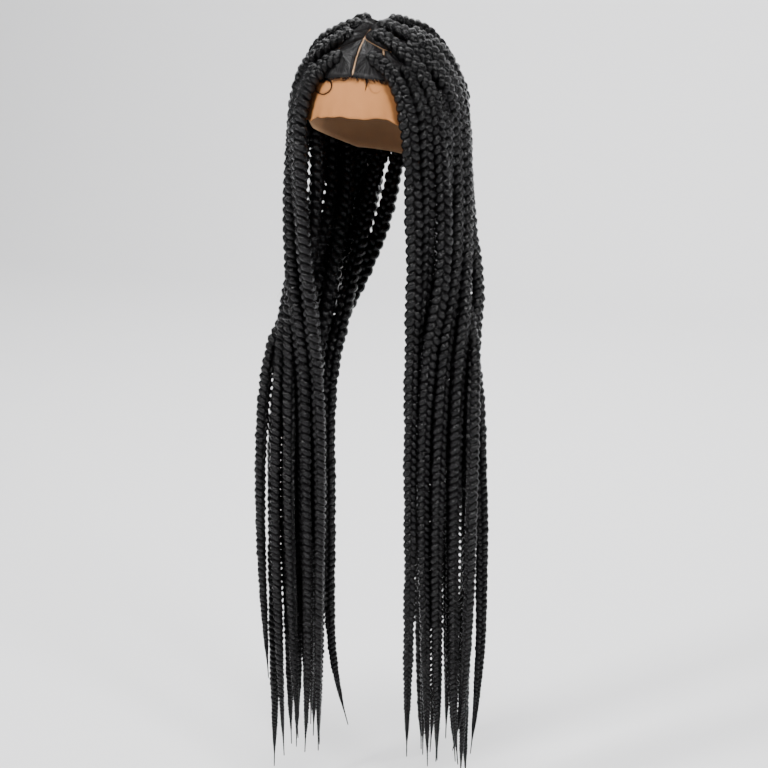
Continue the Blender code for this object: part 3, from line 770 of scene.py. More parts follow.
@dataclass
class HairSection:
    """The hair of one section, combed from the partings up to the knot of its braid."""

    plan: BraidPlan
    side: Side
    routes: Routes
    seed: int
    pattern: HairPattern = HairPattern(part_width=0.0018)
    around: int = 132
    inward: int = 11
    edge_height: float = 0.0004
    body_height: float = 0.0021
    root_rise: float = 0.0050
    root_spread: float = 0.0085
    lock: float = 0.00012
    lock_counts: tuple[int, int] = (23, 37)
    ragged: float = 0.011
    rounding_rounds: int = 2
    ring_power: float = 0.85
    swell_reach: float = 0.22
    swell_power: float = 0.6
    lock_reach: float = 0.15
    section_seed: int = 500
    hair_reach: tuple[float, float] = (0.75, 1.05)
    hair_end: float = 0.16
    hair_drift: float = 0.0016
    hair_lift: float = 0.0007
    hairs: int = 80
    hair_points: int = 8
    hair_radius: float = 0.00011

    def outline(self) -> np.ndarray:
        """Goes round the section inside its partings.

        Returns:
            Points on the head, evenly spread over the four edges.
        """
        loop = []
        for step in range(self.around):
            t = 4.0 * step / self.around
            edge, share = int(t), t - int(t)
            u, v = ((share, 0.0), (1.0, share), (1.0 - share, 1.0), (0.0, 1.0 - share))[edge]
            loop.append(self.pattern.place(self.plan, u, v))
        angle, heading = np.array(loop).T
        edge = self.routes.head.point(angle, heading, 0.0)
        # Corners are rounded by averaging along the outline
        for _ in range(self.rounding_rounds):
            edge = (np.roll(edge, 1, 0) + 2 * edge + np.roll(edge, -1, 0)) / 4
        return edge

    def height(
        self, share: np.ndarray, away: np.ndarray, turn: np.ndarray, phases: np.ndarray
    ) -> np.ndarray:
        """How high the hair lies over the head.

        Args:
            share: Share of the way from the root to the outline.
            away: Distance from the root.
            turn: Angle round the root.
            phases: Where the locks lie round the root.

        Returns:
            Heights.
        """
        base = self.routes.cap_wall + self.routes.clearance / 2 + self.edge_height
        swell = self.body_height * np.clip((1.0 - share) / self.swell_reach, 0.0, 1.0) ** self.swell_power
        rise = self.root_rise * np.exp(-((away / self.root_spread) ** 2))
        lock = sum(np.sin(count * turn + phase) for count, phase in zip(self.lock_counts, phases))
        return base + swell + rise + self.lock * lock * np.clip((1.0 - share) / self.lock_reach, 0.0, 1.0)

    def add_to(self, draft: MeshDraft, slot: int) -> None:
        """Adds the combed hair to a mesh.

        Args:
            draft: The mesh.
            slot: Index of the hair's material in it.
        """
        head, random = self.routes.head, np.random.default_rng(self.section_seed + self.seed)
        edge = self.outline()
        root = head.point(*self.routes.pattern.centre(self.plan), 0.0)
        turn = np.arange(self.around) * 2 * math.pi / self.around
        phases = random.uniform(0.0, 2 * math.pi, 2)
        jag = self.ragged * random.normal(0.0, 1.0, self.around)
        shares = np.linspace(1.0, 0.0, self.inward) ** self.ring_power
        grid = []
        for share in shares:
            flat = root + (edge - root) * (share + jag * (share == 1.0))[:, None]
            away = np.linalg.norm(flat - root, axis=1)
            grid.append(head.pressed(flat, self.height(share, away, turn, phases)))
        rim = root + (edge - root) * (1.0 + jag)[:, None]
        grid.insert(0, head.pressed(rim, np.full(self.around, self.routes.cap_wall)))
        grid = np.array(grid) * np.array([self.side.value, 1.0, 1.0])
        run = np.linspace(0.0, 1.0, len(grid))[:, None] * np.linalg.norm(edge - root, axis=1).mean()
        columns = np.arange(self.around + 1)[None] / self.around
        places = np.stack(np.broadcast_arrays(columns, run + PIECE_STEP * self.seed), -1)
        if self.side is Side.RIGHT:
            grid, places = grid[:, ::-1], places[:, ::-1]
        draft.grid(grid, places, slot)
        self.add_hairs(draft, slot, random, edge, root, phases)

    def add_hairs(
        self,
        draft: MeshDraft,
        slot: int,
        random: np.random.Generator,
        edge: np.ndarray,
        root: np.ndarray,
        phases: np.ndarray,
    ) -> None:
        """Adds single hairs over the combed hair, some of them from just across a parting.

        Args:
            draft: The mesh.
            slot: Index of the hair's material in it.
            random: Where the chances come from.
            edge: The section's outline.
            root: Where its braid starts.
            phases: Where its locks lie.
        """
        head, t = self.routes.head, np.linspace(0.0, 1.0, self.hair_points)
        for _ in range(self.hairs):
            place = random.uniform(0.0, self.around)
            low, high, part = int(place), (int(place) + 1) % self.around, place % 1.0
            start = edge[low] * (1.0 - part) + edge[high] * part
            reach = random.uniform(*self.hair_reach)
            share = reach * (1.0 - t) + self.hair_end * t
            drift = random.normal(0.0, self.hair_drift) * np.sin(math.pi * t)
            beside = unit(np.cross(start - root, head.outward(start[None])[0][0]))
            flat = root + (start - root) * share[:, None] + beside * drift[:, None]
            away = np.linalg.norm(flat - root, axis=1)
            turn = np.full(self.hair_points, place * 2 * math.pi / self.around)
            height = self.height(share, away, turn, phases)
            height = height + random.uniform(0.0, self.hair_lift) * np.sin(math.pi * t)
            line = head.pressed(flat, height + self.hair_radius) * np.array([self.side.value, 1.0, 1.0])
            add_hair(draft, line, self.hair_radius, slot=slot)


@dataclass(frozen=True)
class HairFinish:
    """Black fibre hair: how dark it is, how it shines and how fine its fibres are."""

    name: str
    dark: tuple[float, float, float] = (0.0005, 0.0005, 0.0006)
    light: tuple[float, float, float] = (0.0040, 0.0037, 0.0040)
    smooth: float = 0.10
    rough: float = 0.26
    bump: float = 0.8
    specular: float = 0.19
    fibres: float = 9.0
    twist: float = 16.0
    run: float = 34.0
    depth: float = 0.00032

    def material(self, fibres: bpy.types.NodeTree) -> bpy.types.Material:
        """Makes the material.

        Args:
            fibres: The node group that draws the fibres.

        Returns:
            The material.
        """
        paint = Paint(self.name)
        place = paint.node("ShaderNodeUVMap", uv_map="UVMap")
        strands = paint.group(
            fibres, {"Place": place.outputs["UV"]}, Fibres=self.fibres, Twist=self.twist, Run=self.run
        )
        streak, tuft = strands.outputs["Streak"], strands.outputs["Tuft"]
        # The streaks mix dark and light fibres. On the combed hair the light fibres are bright enough to
        # stand in for its sheen, a painted sheen
        colour = paint.mix(streak, self.dark, self.light)
        paint.link(colour, paint.shader.inputs["Base Color"])
        rough = paint.node("ShaderNodeMapRange")
        rough.inputs["To Min"].default_value = self.smooth
        rough.inputs["To Max"].default_value = self.rough
        paint.link(tuft, rough.inputs["Value"])
        paint.link(rough.outputs["Result"], paint.shader.inputs["Roughness"])
        paint.bump(streak, self.depth, self.bump)
        paint.shader.inputs["Specular IOR Level"].default_value = self.specular
        return paint.material


@dataclass(frozen=True)
class NetFinish:
    """Lace net: its thread colour, its mesh size and how open it is."""

    name: str
    thread: tuple[float, float, float]
    ground: tuple[float, float, float]
    cell: float
    hole: float
    roughness: float = 0.82
    depth: float = 0.00018
    bump: float = 0.6
    specular: float = 0.25
    tone_scale: float = 38.0
    tone_share: float = 0.35

    def material(self, net: bpy.types.NodeTree, cloud: bpy.types.NodeTree) -> bpy.types.Material:
        """Makes the material.

        Args:
            net: The node group that draws the net.
            cloud: The node group that draws uneven tone.

        Returns:
            The material.
        """
        paint = Paint(self.name)
        place = paint.node("ShaderNodeUVMap", uv_map="UVMap")
        mesh = paint.group(net, {"Place": place.outputs["UV"]}, Cell=self.cell)
        tone = paint.group(cloud, {"Place": place.outputs["UV"]}, Scale=self.tone_scale)
        colour = paint.mix(mesh.outputs["Thread"], self.ground, self.thread)
        shaded = paint.node("ShaderNodeMix", data_type="RGBA", blend_type="MULTIPLY")
        shaded.inputs["Factor"].default_value = self.tone_share
        paint.link(colour, shaded.inputs["A"])
        paint.link(tone.outputs["Tone"], shaded.inputs["B"])
        paint.link(shaded.outputs["Result"], paint.shader.inputs["Base Color"])
        paint.shader.inputs["Roughness"].default_value = self.roughness
        paint.shader.inputs["Specular IOR Level"].default_value = self.specular
        paint.bump(mesh.outputs["Thread"], self.depth, self.bump)
        if self.hole > 0.0:
            alpha = paint.node("ShaderNodeMapRange")
            alpha.inputs["To Min"].default_value = 1.0 - self.hole
            alpha.inputs["To Max"].default_value = 1.0
            paint.link(mesh.outputs["Thread"], alpha.inputs["Value"])
            paint.link(alpha.outputs["Result"], paint.shader.inputs["Alpha"])
        return paint.material


class Paint:
    """A material being put together from shader nodes."""

    def __init__(self, name: str) -> None:
        """Starts a material.

        Args:
            name: Its name.
        """
        self.material = bpy.data.materials.new(name)
        self.material.use_nodes = True
        self.tree = self.material.node_tree
        self.shader = self.tree.nodes["Principled BSDF"]

    def node(self, kind: str, **settings: object) -> bpy.types.Node:
        """Adds a node with its settings."""
        return add_node(self.tree, kind, **settings)

    def link(self, source: bpy.types.NodeSocket, target: bpy.types.NodeSocket) -> None:
        """Links two sockets."""
        self.tree.links.new(source, target)

    def group(
        self, tree: bpy.types.NodeTree, linked: dict[str, bpy.types.NodeSocket], **values: float
    ) -> bpy.types.Node:
        """Places a node group.

        Args:
            tree: The group.
            linked: Sockets to link to its inputs, by name.
            values: Numbers for its other inputs.

        Returns:
            The group's node.
        """
        node = self.node("ShaderNodeGroup")
        node.node_tree = tree
        for name, source in linked.items():
            self.link(source, node.inputs[name])
        for name, value in values.items():
            node.inputs[name].default_value = value
        return node

    def mix(
        self, factor: bpy.types.NodeSocket, low: tuple[float, ...], high: tuple[float, ...]
    ) -> bpy.types.NodeSocket:
        """Mixes two colours by a mask.

        Args:
            factor: The mask.
            low: Colour where it is zero.
            high: Colour where it is one.

        Returns:
            The mixed colour's socket.
        """
        node = self.node("ShaderNodeMix", data_type="RGBA")
        node.inputs["A"].default_value = (*low, 1.0)
        node.inputs["B"].default_value = (*high, 1.0)
        self.link(factor, node.inputs["Factor"])
        return node.outputs["Result"]

    def bump(self, height: bpy.types.NodeSocket, distance: float, strength: float) -> None:
        """Raises the surface by a height."""
        node = self.node("ShaderNodeBump")
        node.inputs["Distance"].default_value = distance
        node.inputs["Strength"].default_value = strength
        self.link(height, node.inputs["Height"])
        self.link(node.outputs["Normal"], self.shader.inputs["Normal"])


def add_node(tree: bpy.types.NodeTree, kind: str, **settings: object) -> bpy.types.Node:
    """Adds a node to a tree.

    Args:
        tree: The tree.
        kind: The node's type name.
        settings: Properties to set on it.

    Returns:
        The node.
    """
    node = tree.nodes.new(kind)
    for name, value in settings.items():
        setattr(node, name, value)
    return node


class EffectGroup:
    """A shader node group with named inputs and outputs."""

    def __init__(self, name: str, inputs: dict[str, str], outputs: dict[str, str]) -> None:
        """Starts a group.

        Args:
            name: Its name.
            inputs: Socket types of its inputs, by name.
            outputs: Socket types of its outputs, by name.
        """
        self.tree = bpy.data.node_groups.new(name, "ShaderNodeTree")
        for socket, kind in inputs.items():
            self.tree.interface.new_socket(name=socket, in_out="INPUT", socket_type=kind)
        for socket, kind in outputs.items():
            self.tree.interface.new_socket(name=socket, in_out="OUTPUT", socket_type=kind)
        self.source = self.tree.nodes.new("NodeGroupInput").outputs
        self.result = self.tree.nodes.new("NodeGroupOutput").inputs

    def math(self, operation: str, *values: object) -> bpy.types.NodeSocket:
        """Works out a number.

        Args:
            operation: The Math node's operation.
            values: Numbers, or sockets to link.

        Returns:
            The result's socket.
        """
        node = add_node(self.tree, "ShaderNodeMath", operation=operation)
        for socket, value in zip(node.inputs, values):
            if isinstance(value, bpy.types.NodeSocket):
                self.tree.links.new(value, socket)
            else:
                socket.default_value = value
        return node.outputs["Value"]

    def parts(self, vector: bpy.types.NodeSocket) -> tuple[bpy.types.NodeSocket, bpy.types.NodeSocket]:
        """Splits a place into its two parts."""
        node = self.tree.nodes.new("ShaderNodeSeparateXYZ")
        self.tree.links.new(vector, node.inputs["Vector"])
        return node.outputs["X"], node.outputs["Y"]

    def noise(self, x: object, y: object, z: object, detail: float, rough: float) -> bpy.types.NodeSocket:
        """Draws noise at a place.

        Args:
            x: First part of the place.
            y: Second part.
            z: Third part.
            detail: Levels of detail.
            rough: Weight of the finer levels.

        Returns:
            The noise's socket.
        """
        join = self.tree.nodes.new("ShaderNodeCombineXYZ")
        for socket, value in zip(join.inputs, (x, y, z)):
            if isinstance(value, bpy.types.NodeSocket):
                self.tree.links.new(value, socket)
            else:
                socket.default_value = value
        node = add_node(self.tree, "ShaderNodeTexNoise", noise_dimensions="3D")
        node.inputs["Scale"].default_value = 1.0
        node.inputs["Detail"].default_value = detail
        node.inputs["Roughness"].default_value = rough
        self.tree.links.new(join.outputs["Vector"], node.inputs["Vector"])
        return node.outputs["Fac"]

    def finish(self, name: str, value: bpy.types.NodeSocket) -> None:
        """Gives a value to an output."""
        self.tree.links.new(value, self.result[name])


def fibre_group() -> bpy.types.NodeTree:
    """Fine fibres along a strand, drawn round it without a seam.

    Returns:
        A group with the outputs Streak, for single fibres, and Tuft, for bundles of them.
    """
    numbers = {"Fibres": "NodeSocketFloat", "Twist": "NodeSocketFloat", "Run": "NodeSocketFloat"}
    group = EffectGroup(
        "hair_fibres",
        {"Place": "NodeSocketVector", **numbers},
        {"Streak": "NodeSocketFloat", "Tuft": "NodeSocketFloat"},
    )
    around, along = group.parts(group.source["Place"])
    turned = group.math("MULTIPLY_ADD", along, group.source["Twist"], around)
    angle = group.math("MULTIPLY", turned, 2 * math.pi)
    x = group.math("MULTIPLY", group.math("COSINE", angle), group.source["Fibres"])
    y = group.math("MULTIPLY", group.math("SINE", angle), group.source["Fibres"])
    z = group.math("MULTIPLY", along, group.source["Run"])
    fine = group.noise(x, y, z, 3.0, 0.65)
    contrast = group.math("MULTIPLY_ADD", group.math("SUBTRACT", fine, 0.5), 2.2, 0.5)
    group.finish("Streak", group.math("MINIMUM", group.math("MAXIMUM", contrast, 0.0), 1.0))
    wide_x, wide_y = group.math("MULTIPLY", x, 0.3), group.math("MULTIPLY", y, 0.3)
    group.finish("Tuft", group.noise(wide_x, wide_y, group.math("MULTIPLY", z, 2.0), 2.0, 0.5))
    return group.tree


def net_group() -> bpy.types.NodeTree:
    """A net of six-sided holes.

    Returns:
        A group with the output Thread, one on a thread and zero in a hole.
    """
    group = EffectGroup(
        "lace_net",
        {"Place": "NodeSocketVector", "Cell": "NodeSocketFloat"},
        {"Thread": "NodeSocketFloat"},
    )
    u, v = group.parts(group.source["Place"])
    k = group.math("DIVIDE", 4 * math.pi / math.sqrt(3.0), group.source["Cell"])
    total = None
    for turn in (0.0, 60.0, 120.0):
        way = math.radians(turn)
        part = group.math("MULTIPLY_ADD", u, math.cos(way), group.math("MULTIPLY", v, math.sin(way)))
        wave = group.math("COSINE", group.math("MULTIPLY", part, k))
        total = wave if total is None else group.math("ADD", total, wave)
    thread = group.math("MULTIPLY_ADD", total, -0.55, 0.45)
    group.finish("Thread", group.math("MINIMUM", group.math("MAXIMUM", thread, 0.0), 1.0))
    return group.tree


def cloud_group() -> bpy.types.NodeTree:
    """Uneven tone of a cloth.

    Returns:
        A group with the output Tone, between about a half and one.
    """
    group = EffectGroup(
        "uneven_tone",
        {"Place": "NodeSocketVector", "Scale": "NodeSocketFloat"},
        {"Tone": "NodeSocketFloat"},
    )
    u, v = group.parts(group.source["Place"])
    x = group.math("MULTIPLY", u, group.source["Scale"])
    y = group.math("MULTIPLY", v, group.source["Scale"])
    group.finish("Tone", group.math("MULTIPLY_ADD", group.noise(x, y, 0.0, 3.0, 0.6), 0.7, 0.55))
    return group.tree


@dataclass
class LaceCap:
    """The cap that the hair is fixed to: a smooth dome of net, two walls joined at the edge."""

    routes: Routes
    around: int = 128
    rows: int = 30
    wall: float = 0.0011
    inside: float = 0.0001
    crown_share: float = 0.002
    lip_angle: float = 0.25
    lip_place: float = 1.003
    inner_place: float = 1.006

    def build(self, material: bpy.types.Material) -> bpy.types.Object:
        """Makes the cap.

        Args:
            material: Its net.

        Returns:
            The cap.
        """
        head, pattern = self.routes.head, self.routes.pattern
        headings = np.arange(self.around) * 360.0 / self.around - 180.0
        edge = np.array([pattern.angle_at(0, h) for h in headings])
        shares = np.linspace(self.crown_share, 1.0, self.rows)
        outer = [head.point(s * edge, headings, self.wall) for s in shares]
        inner = [head.point(s * edge, headings, self.inside) for s in shares[::-1]]
        lip = [head.point(edge + self.lip_angle, headings, self.wall / 2)]
        grid = np.array([*outer, *lip, *inner])
        run = np.concatenate([shares, [self.lip_place], self.inner_place + shares - shares[0]])
        run = run * np.radians(edge.mean())
        u = np.arange(self.around + 1)[None] / self.around * 2 * math.pi * head.half_width
        places = np.stack(np.broadcast_arrays(u, run[:, None] * head.crown_height), -1)
        draft = MeshDraft()
        draft.grid(grid, places)
        return draft.object("cap_net", [material])


@dataclass
class ForeheadLace:
    """The untrimmed lace below the hairline, cut by hand, with one corner turned up."""

    routes: Routes
    depth: float = 0.042
    depth_headings: tuple[float, ...] = (0.0, 40.0, 67.5)
    depth_shares: tuple[float, ...] = (1.0, 0.92, 0.40)
    seam: float = 0.0003
    wall: float = 0.0009
    inside: float = 0.0001
    columns: int = 120
    rows: int = 20
    ripple: float = 0.0006
    waviness: float = 0.0007
    cut_rates: tuple[float, float] = (0.19, 0.47)
    cut_back: float = 0.0012
    ripple_rate: float = 0.5
    corner_start: float = 52.0
    corner_span: float = 15.0
    corner_lift: float = 0.0040
    flat: tuple[float, float] = (0.194, 0.0432)
    flat_area: float = 0.00655

    def depth_at(self, heading: np.ndarray) -> np.ndarray:
        """How far the lace reaches below the hairline."""
        return self.depth * np.interp(np.abs(heading), self.depth_headings, self.depth_shares)

    def build(self, material: bpy.types.Material) -> bpy.types.Object:
        """Makes the lace.

        Args:
            material: Its net.

        Returns:
            The lace.
        """
        head, pattern = self.routes.head, self.routes.pattern
        headings = np.linspace(-self.depth_headings[-1], self.depth_headings[-1], self.columns)
        degrees = 180.0 / (math.pi * (head.front_depth + head.crown_height) / 2)
        top = np.array([pattern.angle_at(0, h) for h in headings]) + self.seam * degrees
        slow, quick = (np.sin(headings * rate + start) for rate, start in zip(self.cut_rates, (0.0, 1.0)))
        cut = self.waviness * (slow + 0.5 * quick) - self.cut_back
        sheets = []
        for height in (self.wall, self.inside):
            sheet = []
            for share in np.linspace(0.0, 1.0, self.rows):
                angle = top + share * (self.depth_at(headings) + cut * share) * degrees
                wave = self.ripple * share**3 * (1.0 + np.sin(headings * self.ripple_rate + 2.0 * share))
                corner = np.clip((-headings - self.corner_start) / self.corner_span, 0.0, 1.0)
                curl = self.corner_lift * corner**2 * share**2
                sheet.append(head.point(angle, headings, height + wave + curl))
            sheets.append(sheet)
        # Each ring runs down the outer face and back up behind it
        rings = np.transpose(np.array([*sheets[0], *sheets[1][::-1]]), (1, 0, 2))
        ends = (rings + rings[:, ::-1]) / 2
        grid = np.concatenate([ends[:1], rings, ends[-1:]])
        turned = np.concatenate([headings[:1], headings, headings[-1:]])
        u = turned / 180.0 * math.pi * (head.half_width + head.front_depth) / 2
        down = np.linspace(0.0, self.depth, self.rows)
        v = np.concatenate([down, down[::-1], down[:1]])
        places = np.stack(np.broadcast_arrays(u[:, None], v[None]), -1)
        draft = MeshDraft()
        draft.grid(grid, places)
        return draft.object("forehead_net", [material])


@dataclass(frozen=True)
class Wisp:
    """A wisp of short hair laid on the forehead, by points given as angles on the head."""

    points: tuple[tuple[float, float], ...]
    hairs: int
    spread: float
    radius: float = 0.00012


@dataclass
class HairlineHairs:
    """Short hairs at the edge of the hairline, laid on the lace."""

    routes: Routes
    wisps: tuple[Wisp, ...] = (
        Wisp(
            (
                (57.5, -38.0), (61.0, -31.1), (62.4, -21.6), (65.5, -18.1), (68.9, -19.7), (71.1, -26.4),
                (70.4, -35.0), (68.4, -42.2), (66.5, -45.1),
            ),
            18,
            0.0004,
        ),
        Wisp(((53.0, 10.9), (59.3, 13.4), (63.7, 13.9), (68.0, 13.1)), 18, 0.0004),
        Wisp(((60.0, 12.5), (65.2, 16.5), (68.7, 20.3), (68.1, 24.9), (64.2, 27.6)), 3, 0.0004, 0.00007),
        Wisp(((59.5, 31.0), (63.3, 34.6), (64.5, 39.9), (66.5, 43.6), (68.8, 46.2)), 8, 0.0007, 0.00009),
        Wisp(((61.0, 36.0), (65.6, 39.2), (69.9, 39.8), (71.1, 42.4), (68.8, 45.2)), 7, 0.0006, 0.00009),
        Wisp(((58.5, 25.0), (61.5, 25.5), (63.5, 28.5), (63.0, 32.0)), 4, 0.0005, 0.00008),
        Wisp(((57.0, -18.0), (60.5, -19.5), (62.8, -24.0)), 4, 0.0006, 0.00008),
    )
    fuzz: int = 900
    fuzz_reach: float = 64.0
    fuzz_lengths: tuple[float, float] = (0.0030, 0.0085)
    fuzz_radius: float = 0.00012
    fuzz_points: int = 6
    fuzz_start: tuple[float, float] = (0.2, 1.6)
    fuzz_lean: tuple[float, float] = (0.3, 1.3)
    fuzz_scatter: float = 14.0
    fuzz_bend: float = 1.2
    fuzz_rise: float = 0.0006
    wisp_lengths: tuple[float, float] = (0.82, 1.0)
    wisp_closeness: float = 0.35
    wisp_rise: float = 0.0003
    height: float = 0.0014
    points: int = 22
    seed: int = 77

    def build(self, material: bpy.types.Material) -> bpy.types.Object:
        """Makes the short hairs.

        Args:
            material: Their finish.

        Returns:
            All of them as one piece.
        """
        random = np.random.default_rng(self.seed)
        draft = MeshDraft()
        for wisp in self.wisps:
            self.add_wisp(draft, wisp, random)
        for _ in range(self.fuzz):
            self.add_fuzz(draft, random)
        return draft.object("hairline_hairs", [material])

    def add_wisp(self, draft: MeshDraft, wisp: Wisp, random: np.random.Generator) -> None:
        """Adds the hairs of a wisp, close together at both ends.

        Args:
            draft: The mesh.
            wisp: The wisp.
            random: Where the chances come from.
        """
        head = self.routes.head
        corners = np.array([head.point(angle, heading, 0.0) for angle, heading in wisp.points])
        line = self.routes.smooth(corners)
        length = float(np.linalg.norm(np.diff(line, axis=0), axis=1).sum())
        for _ in range(wisp.hairs):
            hair = self.routes.evenly(line, length * random.uniform(*self.wisp_lengths), self.points)
            t = np.linspace(0.0, 1.0, self.points)
            offset = wisp.spread * random.normal(0.0, 1.0, 3)
            hair = hair + np.outer(self.wisp_closeness + np.sin(math.pi * t), offset)
            height = self.height + abs(random.normal(0.0, self.wisp_rise)) * np.sin(math.pi * t)
            add_hair(draft, head.pressed(hair, height), wisp.radius)

    def add_fuzz(self, draft: MeshDraft, random: np.random.Generator) -> None:
        """Adds one very short hair at the hairline.

        Args:
            draft: The mesh.
            random: Where the chances come from.
        """
        head, pattern = self.routes.head, self.routes.pattern
        heading = random.uniform(-self.fuzz_reach, self.fuzz_reach)
        edge = pattern.angle_at(0, heading) - random.uniform(*self.fuzz_start)
        length = random.uniform(*self.fuzz_lengths)
        lean = random.uniform(*self.fuzz_lean)
        lean = math.copysign(lean, heading + random.normal(0.0, self.fuzz_scatter))
        t = np.linspace(0.0, 1.0, self.fuzz_points)
        degrees = math.degrees(length / head.crown_height)
        angle = edge + degrees * np.sin(t * self.fuzz_bend)
        turned = heading + degrees * lean * t**1.5
        line = head.point(angle, turned, self.height + random.uniform(0.0, self.fuzz_rise) * t)
        add_hair(draft, line, self.fuzz_radius)


def add_hair(draft: MeshDraft, line: np.ndarray, radius: float, slot: int = 0) -> None:
    """Adds one three-sided hair that thins out towards its end.

    Args:
        draft: The mesh.
        line: Its points.
        radius: Its radius at the root.
        slot: Index of its material in the mesh.
    """
    along = unit(np.gradient(line, axis=0))
    side = unit(np.cross(along, np.array(HAIR_SIDE)))
    up = np.cross(along, side)
    rim = np.arange(HAIR_SIDES) * 2 * math.pi / HAIR_SIDES
    taper = radius * (1.0 - HAIR_TAPER * np.linspace(0.0, 1.0, len(line)) ** 2)[:, None, None]
    ring = side[:, None] * np.cos(rim)[None, :, None] + up[:, None] * np.sin(rim)[None, :, None]
    run = np.linspace(0.0, HAIR_PLACE, len(line))[:, None]
    places = np.stack(np.broadcast_arrays(np.arange(HAIR_SIDES + 1)[None] / HAIR_SIDES, run), -1)
    draft.grid(line[:, None] + ring * taper, places, slot)


@dataclass
class LooseHairs:
    """Short single hairs that stand out of the plaits."""

    sizes: BraidSizes
    a_braid: int = 40
    shortest: float = 0.005
    longest: float = 0.013
    radius: float = 0.00007
    points: int = 6
    shares: tuple[float, float] = (0.10, 0.99)
    thin_length_share: float = 0.4
    curves: tuple[float, float] = (0.15, 0.42)
    curve_rate: float = 2.2
    start_share: float = 0.42
    seed: int = 303

    def add_for(self, route: np.ndarray, draft: MeshDraft, random: np.random.Generator) -> None:
        """Adds the loose hairs of one braid.

        Args:
            route: The braid's points.
            draft: The mesh.
            random: Where the chances come from.
        """
        knots = np.linspace(0.0, 1.0, len(route))
        tangents = unit(np.gradient(route, axis=0))
        for _ in range(self.a_braid):
            share = random.uniform(*self.shares)
            place = np.array([np.interp(share, knots, route[:, axis]) for axis in range(3)])
            along = np.array([np.interp(share, knots, tangents[:, axis]) for axis in range(3)])
            out = unit(np.cross(along, random.normal(0.0, 1.0, 3)))
            width = float(self.sizes.width_at(share))
            full = self.thin_length_share + (1.0 - self.thin_length_share) * width / self.sizes.width
            length = random.uniform(self.shortest, self.longest) * full
            t = np.linspace(0.0, 1.0, self.points)[:, None]
            curve = random.uniform(*self.curves) * np.sin(self.curve_rate * t)
            start = place + out * width * self.start_share
            add_hair(draft, start + along * length * t + out * length * curve, self.radius)

    def build(
        self, routes: dict[tuple[Side, int], np.ndarray], material: bpy.types.Material
    ) -> bpy.types.Object:
        """Makes the loose hairs of all braids.

        Args:
            routes: The braids' points.
            material: Their finish.

        Returns:
            All of them as one piece.
        """
        random = np.random.default_rng(self.seed)
        draft = MeshDraft()
        for route in routes.values():
            self.add_for(route, draft, random)
        return draft.object("loose_hairs", [material])


@dataclass
class Finishes:
    """All materials of the wig."""

    strands: bpy.types.Material
    combed: bpy.types.Material
    cap: bpy.types.Material
    forehead: bpy.types.Material

    @classmethod
    def make(cls) -> "Finishes":
        """Builds the node groups and the materials that use them."""
        fibres, net, cloud = fibre_group(), net_group(), cloud_group()
        return cls(
            strands=HairFinish("plaited_hair").material(fibres),
            # The combed hair is the plaits' black hair with much lighter fibre streaks: random fibre
            # tone, brightened as a painted sheen
            combed=HairFinish(
                "combed_hair_painted_sheen",
                light=(0.0190, 0.0178, 0.0184),
                fibres=17.0,
                twist=0.0,
                run=18.0,
                smooth=0.24,
                rough=0.42,
                depth=0.0006,
            ).material(fibres),
            cap=NetFinish(
                "cap_net",
                thread=(0.50, 0.315, 0.185),
                ground=(0.38, 0.225, 0.125),
                cell=0.0011,
                hole=0.0,
            ).material(net, cloud),
            forehead=NetFinish(
                "forehead_net",
                thread=(0.47, 0.198, 0.066),
                ground=(0.41, 0.162, 0.051),
                cell=0.0009,
                hole=0.22,
            ).material(net, cloud),
        )


@dataclass(frozen=True)
class Lamp:
    """A soft light: where it stands, its width and height, its watts and what it points at."""

    name: str
    place: tuple[float, float, float]
    size: tuple[float, float]
    power: float
    aim: tuple[float, float, float] = (0.0, 0.0, -0.35)

    def build(self) -> None:
        """Adds the light."""
        data = bpy.data.lights.new(self.name, "AREA")
        data.shape = "RECTANGLE"
        data.size, data.size_y = self.size
        data.energy = self.power
        lamp = bpy.data.objects.new(self.name, data)
        lamp.location = self.place
        lamp.rotation_euler = (Vector(self.aim) - Vector(self.place)).to_track_quat("-Z", "Y").to_euler()
        bpy.context.scene.collection.objects.link(lamp)


